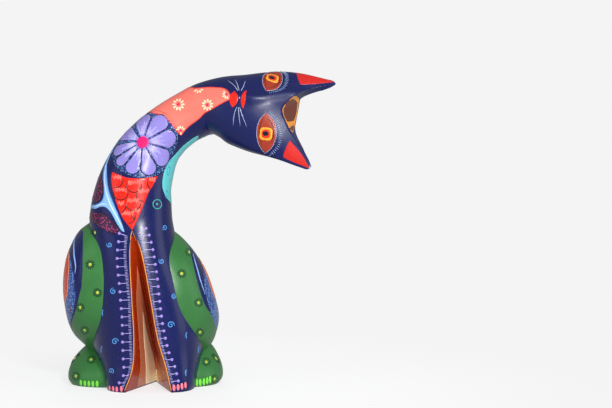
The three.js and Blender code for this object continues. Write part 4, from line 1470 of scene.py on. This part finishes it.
# A clear even turquoise, with rings that are only a little darker.
turquoise = enamel("turquoise acrylic", "#5ED0D4", tone=0.07)
ring_blue = enamel("blue acrylic ring", "#3C93C8", depth=0.05)
leaf_front = [(199.5, 135), (190.6, 140), (184, 145), (176, 153.6), (167.7, 163), (163.8, 173), (162.2, 184),
              (163.8, 192.5), (167.7, 199.5), (172.5, 208)]
leaf_behind = [(137, -27), (145, -34), (157, -37.5), (170, -38), (184, -35), (197, -27.5), (207, -14)]
leaf_rings_front = [(skin_point((168.4, 171)), 3.0), (skin_point((166.8, 194)), 2.6)]
leaf_rings_behind = [((146, -20), 3.4), ((162, -26), 4), ((178, -24), 3.6), ((154, -36), 2.6),
                     ((190, -12), 2.8)]
leaf_pot = open_pot()
leaf_line = front_run(leaf_front)
leaf_rim = [leaf_line, [leaf_line[-1], *leaf_behind, leaf_line[0]]]
lay_patch(leaf_pot, rim_of(leaf_rim, step=1.0), on_skin, grain=1.6)
for centre, radius in leaf_rings_front + leaf_rings_behind:
    ring = oval(centre, 1.25 * radius, radius, 12)
    lay_stroke(leaf_pot, ring, on_skin, width=1.1, height=0.3, closed=True, coat=1)
dry("turquoise_leaf", leaf_pot, [turquoise, ring_blue])

# The light blue vine down the outer side of the neck, shaded with a white line along its middle. It forks
# round two dark red leaves that are filled with magenta points.

# Three blues side by side make the vine look round. The points in the leaves are coarse enough to show.
vine_blue = enamel("light blue acrylic", "#86BBF4", tone=0.1)
vine_shade = enamel("mid blue acrylic shading", "#4A80D0", depth=0.05)
vine_light = enamel("white blue acrylic line", "#DCEEFF", depth=0.05)
dotted_red = enamel("dark red field with magenta points", "#3A1436", second="#C23A86",
                    size_mm=(1.6, 1.6, 1.6), share=0.3, depth=0.1)
vine_right = [(110.4, 155), (107, 165), (106.8, 176), (108, 188), (111.5, 199), (116.5, 211), (121, 222),
              (125, 232.5)]
vine_left = [(125, 232.5), (122, 231.5), (117, 224.5), (111.5, 214), (106, 208), (100.5, 207.2), (96, 209),
             (93, 209)]
vine_fork = [(94, 204.5), (98, 203.6), (102, 200.5), (103.9, 195), (103.8, 186)]
vine_top = [(148.5, 93.5), (152.8, 99), (157.8, 103.5), (163, 105.5), (170, 104.5)]
vine_middle = [(106.5, 164), (104.5, 176), (105.6, 189), (109, 201), (114, 212), (119.5, 222), (123.2, 230)]
branch_middle = [(107, 204.5), (102, 204), (97, 206), (94, 206.8)]
upper_leaf = [(101, 175), (103, 183), (103.1, 190), (101.3, 197), (98, 202)]
upper_behind = [(94.6, 199, 12), (96, 190, 17), (97.6, 182, 12)]
lower_leaf = [(93.2, 212), (98, 212.4), (104, 213.5), (110, 218.6), (115.5, 224.6), (120.6, 232.6)]
lower_return = [(120.6, 232.6), (113.6, 233.8), (107, 231.8), (100.7, 228), (95, 223.5)]
lower_behind = [(91, 219, 8), (91, 215, 12)]
vine_pot = open_pot()
fork_end = behind_run([(92.8, 208.5, 12), (93, 204.5, 12)])
vine_start = front_run(vine_right)
vine_rim = [vine_start, front_run(vine_left) + fork_end + front_run(vine_fork) + vine_top,
            [vine_top[-1], (165.5, 102), vine_start[0]]]
lay_patch(vine_pot, rim_of(vine_rim, step=0.9), on_skin, grain=1.2)
lay_stroke(vine_pot, front_run(vine_right[1:]), on_skin, width=1.1, height=0.18, taper=(0.2, 0.2), step=1.0,
           coat=1)
lay_stroke(vine_pot, front_run(vine_fork) + vine_top, on_skin, width=0.9, height=0.18, taper=(0.2, 0.3),
           step=1.0, coat=1)
for line in (vine_middle, branch_middle):
    lay_stroke(vine_pot, front_run(line), on_skin, width=1.3, height=0.26, taper=(0.4, 0.4), step=1.0, coat=2)
upper_rim = front_run(upper_leaf) + behind_run(upper_behind)
lower_rim = [front_run(lower_leaf),
             front_run(lower_return) + behind_run(lower_behind) + front_run(lower_leaf[:1])]
lay_patch(vine_pot, curve_through(upper_rim, step=0.9, closed=True), on_skin, height=0.12, coat=3)
lay_patch(vine_pot, rim_of(lower_rim, step=0.9), on_skin, height=0.12, coat=3)
for rim in (upper_rim, [*lower_rim[0], *lower_rim[1][1:-1]]):
    lay_stroke(vine_pot, rim, on_skin, width=0.9, height=0.2, closed=True, coat=4)
dry("blue_vine", vine_pot, [vine_blue, vine_shade, vine_light, dotted_red, deep_blue])

# The face: painted on the flat of the head with fine brushes. Both eyes are one drawing, the upper one
# mirrored over the ridge of the nose.

# Small opaque areas with crisp edges, one over the other, and a glossy pupil.
brick = enamel("brick red acrylic", "#9A3420")
# The dark red draws the slit of the mouth and the painted shade down both sides of each eye.
dark_red_and_eye_shade = enamel("dark red acrylic line", "#5E140E", depth=0.05)
eye_yellow = enamel("yellow orange acrylic", "#F4A52C", depth=0.05)
pupil_black = enamel("green black acrylic", "#0E1C1C", roughness=0.2, depth=0.03)
pale_line = enamel("pale grey blue acrylic line", "#AEB8D6", depth=0.05)
lash_blue = enamel("grey blue acrylic lashes", "#94AED2", depth=0.05)
iris_red = enamel("bright red acrylic", "#D8301C", depth=0.05)
eye_left = [(266, 112.4), (259.6, 120), (256.6, 132), (258.6, 144), (264.8, 153.7)]
eye_right = [(264.8, 153.7), (272.2, 147), (276.4, 134), (274, 121), (266, 112.4)]
# Painted shade: dark red crescents down both sides of each eye, where lids that are not carved would shade
# it.
eye_side_shade = [[(264, 117), (260.4, 125), (259.6, 134), (262.2, 146)],
             [(266.6, 117), (272, 124), (274, 133), (271, 144)]]
eye_centre, iris_half, iris_squareness = (266, 133.9), 6.8, 3.2
pupil_centre, pupil_half = (265.6, 133.5), np.array([3.3, 2.6])
lash_line = [(270.3, 112.5), (277, 121.5), (280.6, 131), (279, 144.5), (274, 151.6), (269, 156)]
lash_spacing, lash_size = 2.1, (1.7, 0.19, 0.25)
middle_column, mirror_shift, mirror_lean = 60, 2.2, 0.16


def rounded_square(centre, half, squareness, count=40, turn=0.1):
    """The rim of an iris: between a circle and a square, and turned a little."""
    angles = np.linspace(0, 2 * pi, count + 1)[:-1]
    c, s = np.cos(angles), np.sin(angles)
    flat = np.stack([np.sign(c) * np.abs(c) ** (2 / squareness), np.sign(s) * np.abs(s) ** (2 / squareness)],
                    axis=1)
    turned = flat @ np.array([[cos(turn), sin(turn)], [-sin(turn), cos(turn)]])
    return np.array(centre) + turned * half


def mirrored(pixel):
    """The same point of the head on the other side of the ridge of the nose."""
    row, column = skin_point(pixel)
    return on_skin((row - mirror_shift - mirror_lean * (middle_column - column), 2 * middle_column - column))


eyes, lashes = open_pot(), []
for lay in (by_eye, mirrored):
    lay_patch(eyes, rim_of([eye_left, eye_right], step=0.6), lay, grain=1.2, height=0.16)
    for run in (eye_left, eye_right):
        lay_stroke(eyes, run, lay, width=0.42, height=0.2, taper=(0.1, 0.1), step=0.6, coat=4)
    # The painted shade at the sides of the eye.
    for run in eye_side_shade:
        lay_stroke(eyes, run, lay, width=1.5, height=0.24, taper=(0.45, 0.45), step=0.6, coat=1)
    lay_patch(eyes, rounded_square(eye_centre, iris_half, squareness=iris_squareness), lay, grain=0.9,
              height=0.27, coat=2)
    lay_patch(eyes, rounded_square(eye_centre, iris_half * 0.7, squareness=2.6), lay, grain=0.9, height=0.38,
              coat=5)
    lay_patch(eyes, rounded_square(pupil_centre, pupil_half, squareness=2.3, count=28), lay, grain=0.8,
              height=0.5, coat=3)
    lay_stroke(eyes, [(264.4, 116.6), (264.5, 117.9)], lay, width=0.8, height=0.3, taper=(0.5, 0.5), step=0.4,
               coat=3)
    lash = curve_through(lash_line, step=0.3)
    length = norm(np.diff(lash, axis=0), axis=1).sum()
    for point in along_line(lash_line, round(length / lash_spacing)):
        way = point - np.array(eye_centre)
        dab(lashes, point, lay, (lash_size[0] * random.uniform(0.8, 1.2), *lash_size[1:]),
            towards=way * (1, 0.45))
dry("eyes", eyes, [brick, dark_red_and_eye_shade, eye_yellow, pupil_black, pale_line, iris_red])
press("eyelashes", lashes, lash_blue)

# The mouth and the nose: two scarlet lenses painted across the narrow end of the face. Three whiskers a side
# are drawn from between them with the thinnest brush.
mouth_rim = [[(234.6, 90.6), (237.6, 95), (238.2, 99.4), (236.4, 104), (232.3, 107.9)],
             [(232.3, 107.9), (229.9, 103.4), (229.4, 98.6), (231.2, 93.6), (234.6, 90.6)]]
nose_rim = [[(246.8, 89.5), (245.9, 97), (245.2, 103), (243, 109.4)],
            [(243, 109.4), (240.9, 104), (240.9, 98), (243, 92.6), (246.8, 89.5)]]
mouth_slit = [(234.3, 92.5), (234, 98.5), (232.6, 105.5)]
whiskers = [[(238.2, 91.2), (233.6, 85), (227.3, 80.2)], [(239.2, 91), (237.4, 84.5), (235, 79.4)],
            [(240.9, 91), (243.6, 86), (245.4, 80.4)], [(236.8, 106.8), (234.2, 114.5), (233, 125.6)],
            [(238.2, 106.8), (239, 116), (240.4, 126.5)], [(239.4, 106.8), (242.8, 117), (247.1, 127.3)]]
muzzle = open_pot()
for rim in (mouth_rim, nose_rim):
    lay_patch(muzzle, rim_of(rim, step=0.6), by_eye, grain=1.1, height=0.3)
lay_stroke(muzzle, mouth_slit, by_eye, width=0.6, height=0.4, step=0.6, coat=1)
for line in whiskers:
    lay_stroke(muzzle, line, by_eye, width=0.62, height=0.2, taper=(0.1, 0.5), coat=2)
lay_stroke(muzzle, [(239.3, 96.6), (239.6, 98.8)], by_eye, width=1.3, height=0.3, taper=(0.5, 0.5), step=0.5,
           coat=2)
dry("muzzle", muzzle, [scarlet, dark_red_and_eye_shade, pale_line])

# The insides of the ears: a triangle of red paint on each, short of the edge, so that a navy border stays
# round it. The red is opaque and takes the same sheen as the navy.
ear_red = enamel("signal red acrylic", "#C8221C")
ear_lower = [[(289.6, 139.4), (285.6, 147.4), (282.8, 155.2)],
             [(282.8, 155.2), (284.4, 158), (296, 163.4), (309.4, 168.6)],
             [(309.4, 168.6), (306.4, 161), (299.4, 150.4), (289.6, 139.4)]]
ear_upper = [[(295, 72), (297.4, 78.4), (299.8, 84.2)], [(299.8, 84.2), (302, 84.8), (318, 84), (335.4, 82)],
             [(335.4, 82), (325, 78.6), (310, 74.6), (295, 72)]]
ears = open_pot()
for rim in (ear_lower, ear_upper):
    lay_patch(ears, rim_of([front_run(run) for run in rim], step=0.9), on_skin, height=0.1)
dry("ear_insides", ears, [ear_red])

# The hide on the back: brown patches with orange seams, which come up over the crown between the ears and run
# down the nape and the back to the tail. A string of lilac beads edges it.

# Brown areas of about 12 mm between orange seams, both with a satin sheen.
hide = enamel("brown hide patches with orange seams", "#6B3626", second="#E9942E", pattern="cells",
              size_mm=(12, 12, 12), share=0.045, depth=0.12, source="UV")
hide_brown = enamel("brown acrylic", "#6B3626")
seam_orange = enamel("orange acrylic seam", "#EE9A2C", depth=0.05)
crown_rim = [
    [(292.6, 96.6), (296, 95.8), (299.6, 98.6)],
    [(299.6, 98.6), (299, 104), (297.6, 113), (296.2, 120), (294.8, 127), (293.2, 133.4)],
    [(293.2, 133.4), (289.4, 128.8), (285.9, 121.4), (283, 114.6), (282.4, 109.2), (285, 104.4),
     (292.6, 96.6)],
]
crown_patches = [
    [[(283, 108.8), (286.7, 102.2), (292.5, 98.3)], [(292.5, 98.3), (296, 100), (297.8, 103)],
     [(297.8, 103), (296.4, 114), (294, 121)], [(294, 121), (290, 122), (286.9, 122.2)],
     [(286.9, 122.2), (284.6, 118), (283, 113.6), (283, 108.8)]],
    [[(288.9, 128.2), (291.6, 125.8), (294, 124.4)], [(294, 124.4), (294, 128.4), (292.9, 132)],
     [(292.9, 132), (291, 130.6), (288.9, 128.2)]],
]
crown = open_pot()
lay_patch(crown, rim_of(crown_rim), by_eye, grain=1.2, height=0.12, coat=1)
for rim in crown_patches:
    lay_patch(crown, rim_of(rim, step=0.7), by_eye, grain=1.1, height=0.26)
dry("crown_patches", crown, [hide_brown, seam_orange])


def last_row(column):
    """The last row of the skin that the notch between the ears has left standing at a column."""
    for row in range(joint_rows[1], len(spine)):
        place, _ = on_skin((row, column))
        if figure_skin.find_nearest(Vector(place))[3] > 0.3:
            return row
    return len(spine)


hide_half = [(26, 8), (44, 17), (80, 22), (130, 22), (170, 20), (205, 19), (235, 23), (262, 30)]
crown_columns = np.arange(208, 151, -8)
crown_edge = [(last_row(column) - 1.6, column) for column in crown_columns]
hide_rim = [
    [(row, 180 + half) for row, half in hide_half] + [crown_edge[0]],
    crown_edge,
    [crown_edge[-1]] + [(row, 180 - half) for row, half in reversed(hide_half)],
    [(26, 172), (24.6, 180), (26, 188)],
]
hide_pot = open_pot()
lay_patch(hide_pot, rim_of(hide_rim, step=1.2), on_skin, grain=1.9)
for run in hide_rim:
    lay_stroke(hide_pot, run, on_skin, width=1.1, height=0.22, taper=(0, 0), step=1.0, coat=1)
dry("back_hide", hide_pot, [hide, seam_orange])

# The bead of paint that has gathered on the front edge of the notch, where the sanding left it sharp. It
# catches the light as a thin line.
notch_middle = edge_places[1:-1].mean(axis=0)
edge_line = curve_through(edge_places[1:-1], step=1.0)
edge_ways = np.array([unit(way) for way in np.gradient(edge_line, axis=0)])


def on_notch_edge(point):
    """Lays a point (step along the edge, 0) on the front edge of the notch."""
    at = min(max(point[0], 0), len(edge_line) - 1.001)
    i = int(at)
    place = edge_line[i] * (1 - at + i) + edge_line[i + 1] * (at - i)
    skin_normal = np.array(head_skin.find_nearest(Vector(place))[1])
    into = notch_middle - place
    into = unit(into - edge_ways[i] * (into @ edge_ways[i]) - skin_normal * (into @ skin_normal))
    return place, unit(skin_normal + into)


edge_pot = open_pot()
lay_stroke(edge_pot, [(k, 0) for k in range(0, len(edge_line), 3)], on_notch_edge, width=1.0, height=0.25,
           taper=(0.04, 0.04), step=0.6)
dry("notch_edge", edge_pot, [navy])

# A string of lilac beads on both sides of the hide, and small spirals and drops on the plain navy beside it,
# all in the colours of the front and with the same brushes.
hide_bead_spacing, hide_bead_gap = 4.6, 5.5
hide_beads = []
for side in (-1, 1):
    line = [(row, 180 + side * (half + hide_bead_gap)) for row, half in hide_half[1:-1]]
    length = norm(np.diff(line, axis=0), axis=1).sum()
    for point in along_line(line, round(length / hide_bead_spacing)):
        dab(hide_beads, point, on_skin, (1.15, 1.15, 0.6), towards=(1, 0))
press("hide_beads", hide_beads, lilac, segments=10, rings=7)
back_spirals = [(133, 143), (150, 134), (170, 142), (188, 148), (206, 146), (222, 138), (240, 140),
                (128, 216), (147, 212), (206, 216), (222, 224), (120, 146), (240, 226)]
back_drops = [(141, 140), (160, 144), (179, 138), (197, 142), (214, 150), (232, 146), (138, 220), (214, 226),
              (232, 218)]
spiral_pot = open_pot()
for i, point in enumerate(back_spirals):
    spiral(spiral_pot, point, 3.2, on_skin, i * 1.1)
for row, column in back_drops:
    lay_stroke(spiral_pot, [(row - 2.6, column), (row, column + 0.7), (row + 2.6, column)], on_skin,
               width=1.3, height=0.2, coat=1)
dry("back_spirals", spiral_pot, [sky, teal])

# The claws: short upright strokes along the front edge of each foot, pink on the front feet and lime on the
# hind ones. The paint is thick, bright and opaque.
claw_pink = enamel("pink acrylic", "#FF7F92", depth=0.05)
claw_lime = enamel("lime green acrylic", "#7FE84C", depth=0.05)
front_claws = [(109.6, 388.2), (113.1, 388.9), (116.7, 389.4), (121.3, 389), (174, 387.9), (178.1, 387.4),
               (182, 386.4), (185.5, 385.2)]
hind_claws = [(80.8, 382.9), (84.8, 383.5), (88.8, 383.8), (92.8, 384), (97.1, 384), (196.8, 382.6),
              (200.2, 382.5), (203.9, 381.9), (207.2, 380.9), (210.2, 379.7)]
for name, points, length, lean, paint, slot in (
    ("front_claws", front_claws, 2.7, 0.05, claw_pink, "painted_body"),
    ("hind_claws", hind_claws, 3.4, 0.0, claw_lime, "painted_leg"),
):
    claws = []
    for point in points:
        dab(claws, point, by_eye, (length, 1.25, 0.5), towards=(lean, 1))
    press(name, claws, paint, segments=10, rings=8)

# The suns on the green of the legs: a yellow green spot, set down as a drop, in a ring of short dark rays
# that are a darker shade of the ground.
sun_yellow = enamel("yellow green acrylic", "#BEC648", depth=0.05)
ray_green = enamel("dark green acrylic", "#0C3014", depth=0.05)
suns = [(95, 232.6), (90.1, 264.5), (97.5, 292.6), (80.1, 307.5), (84.7, 330.4), (91, 359.5), (75.8, 376),
        (189.4, 252), (181.7, 273.6), (198.6, 302.7), (200, 332.3), (206.4, 361.8), (214.6, 379)]
suns_behind = [(-49, 104), (-58, 78), (-45, 58), (-52, 18), (29, 96), (40, 70), (30, 48), (38, 18)]
suns_beside = [(-20, 20), (6, 16)]
rays_per_sun, ray_reach, smaller, far_off, close_by = 13, 3.5, 0.9, 300, 40


def met_by(start, way, near):
    """Where a straight line meets the figure and how it faces there, or the place nearest to a point."""
    hit, normal, _, _ = figure_skin.ray_cast(Vector(start), Vector(way))
    if hit is None:
        hit, normal, _, _ = figure_skin.find_nearest(Vector(near))
    return np.array(hit), np.array(normal)


def from_side(direction):
    """A canvas of (y, z) looked at from the figure's right or left side."""

    def lay(point):
        return met_by((-direction * far_off, *point), (direction, 0, 0), (-direction * close_by, *point))

    return lay


def from_behind(point):
    """A canvas of (x, z) looked at from behind."""
    x, z = point
    return met_by((x, far_off, z), (0, -1, 0), (x, close_by, z))


def sun(spots, rays, centre, lay, scale=1.0):
    dab(spots, centre, lay, (1.35, 1.2, 0.45))
    for k in range(rays_per_sun):
        a = 2 * pi * k / rays_per_sun
        way = np.array([cos(a), sin(a)])
        dab(rays, np.array(centre) + way * ray_reach * scale, lay, (1.35, 0.46, 0.34), towards=way)


spots, rays = [], []
for centre in suns:
    sun(spots, rays, centre, by_eye)
for centre in suns_behind:
    sun(spots, rays, centre, from_behind, smaller)
for side in (1, -1):
    for centre in suns_beside:
        sun(spots, rays, centre, from_side(side), smaller)
press("sun_spots", spots, sun_yellow, segments=12, rings=7)
press("sun_rays", rays, ray_green)

# The shield on the outside of each haunch: a navy field with a light blue blade along its front edge, a blue
# hatched oval and on it a red leaf with an orange rim and fine veins.

# Light hatching on blue, coarse enough to show, a clear red between thin orange lines, and a pale blade.
hatched_blue = enamel("blue field hatched with light strokes", "#24448E", second="#6F98D8",
                      size_mm=(2.2, 2.6, 1.0), share=0.4, depth=0.1)
leaf_red = enamel("red orange acrylic", "#D8402E")
leaf_orange = enamel("light orange acrylic line", "#F5924A", depth=0.05)
blade_blue = enamel("pale blue acrylic", "#8DB2F2", depth=0.08)
plum = enamel("plum acrylic", "#5A2048", depth=0.05)
shields = {
    "right": {
        "front_edge": [(72, 327), (76, 312), (81.4, 292), (83.4, 278), (83.9, 264), (84, 250), (83.9, 238),
                       (83, 229.6)],
        "behind": [(-20, 125), (0, 113), (11, 93), (12, 68), (2, 48), (-18, 41)],
        "oval": (-25.5, 81, 33, 32.5),
        "leaf": [(-51, 86), (-47.5, 101), (-34, 109), (-17, 106), (-3, 98), (7, 87), (-4, 77), (-18, 70),
                 (-34, 67), (-47, 73)],
        "blade": [(-37.7, 119.8), (-49, 110), (-56, 99), (-57.6, 91)],
        "curl": [(70.2, 309)],
    },
    "left": {
        "front_edge": [(216.3, 327), (210.3, 314), (202, 299), (194.4, 272), (189.4, 250)],
        "behind": [(-20, 112), (-2, 103), (10, 86), (11, 66), (2, 49), (-12, 42)],
        "oval": (-16, 71, 29, 27),
        "leaf": [(-29, 84), (-27, 95), (-18, 101), (-4, 99), (8, 90), (14, 80), (6, 72), (-6, 67), (-19, 68),
                 (-27, 74)],
        "blade": [(-36, 106), (-42, 98), (-45.5, 86), (-45.5, 74)],
        "curl": [],
    },
}
veins_per_leaf, vein_slant, vein_clearance, vein_limit = 7, 0.8, 2.6, 40
for name, shield in shields.items():
    lay = from_side(-hind_legs[name]["side"])
    pot = open_pot()
    front = [tuple(by_eye(pixel)[0][1:]) for pixel in shield["front_edge"]]
    rim = curve_through(front + shield["behind"], step=1.2, closed=True)
    lay_patch(pot, rim, lay, grain=1.9, height=0.12, scale=1)
    y, z, half_y, half_z = shield["oval"]
    lay_patch(pot, oval((y, z), half_y, half_z, 69), lay, grain=1.7, height=0.2, coat=1, scale=1)
    leaf = curve_through(shield["leaf"], step=1.2, closed=True)
    lay_patch(pot, leaf, lay, grain=1.5, height=0.3, coat=2, scale=1)
    lay_stroke(pot, leaf[::3], lay, width=1.2, height=0.42, closed=True, coat=3)
    front, tip = np.array(shield["leaf"][0]), np.array(shield["leaf"][5])
    for k in range(veins_per_leaf):
        root = front + (tip - front) * (0.9 - 0.8 * k / veins_per_leaf)
        for side in (-1, 1):
            reach = 0.0
            way = np.array([-vein_slant, side])
            while reach < vein_limit and inside(root + way * reach, leaf, vein_clearance):
                reach += 0.5
            end = root + way * reach
            lay_stroke(pot, [root, (root + end) / 2 + (1.2, 0), end], lay, width=0.75, height=0.42,
                       taper=(0.1, 0.6), coat=3)
    lay_stroke(pot, [front + (tip - front) * s for s in (0.06, 0.5, 0.94)], lay, width=1.0, height=0.44,
               step=1.0, coat=3)
    lay_stroke(pot, shield["blade"], lay, width=2.4, height=0.3, taper=(0.45, 0.45), step=0.9, coat=4)
    for x, y in shield["curl"]:
        lay_stroke(pot, [(x - 1.2, y - 4), (x + 0.6, y), (x - 0.6, y + 3.6)], by_eye, width=2.4, height=0.34,
                   coat=5)
    dry(f"haunch_shield_{name}", pot, [navy, hatched_blue, leaf_red, leaf_orange, blade_blue, plum])

# The tail's bands: rings of turquoise, coral and cream brushed round it over the navy while it is turned in
# the hand, with strings of lilac beads between them.
on_tail = laid_on(tail_rings)
tail_bands = [(34, 3.4, 0), (41, 1.3, 2), (66, 3.4, 1), (73, 1.3, 2), (98, 3.4, 0), (105, 1.3, 2),
              (126, 2.6, 1)]
bead_rows, beads_per_row = (50, 57, 82, 89, 113, 119), 10
tail_pot, tail_beads = open_pot(), []
for row, width, coat in tail_bands:
    lay_stroke(tail_pot, [(row, column) for column in range(0, tail_sides, 3)], on_tail, width=width,
               height=0.2, closed=True, coat=coat)
dry("tail_bands", tail_pot, [turquoise, coral, cream], body="tail")
for k, row in enumerate(bead_rows):
    for i in range(beads_per_row):
        column = (i + 0.5 * (k % 2)) * tail_sides / beads_per_row
        dab(tail_beads, (row, column), on_tail, (1.2, 1.2, 0.4))
press("tail_beads", tail_beads, lilac, body="tail", segments=10, rings=7)

scene.view_settings.view_transform = "Standard"
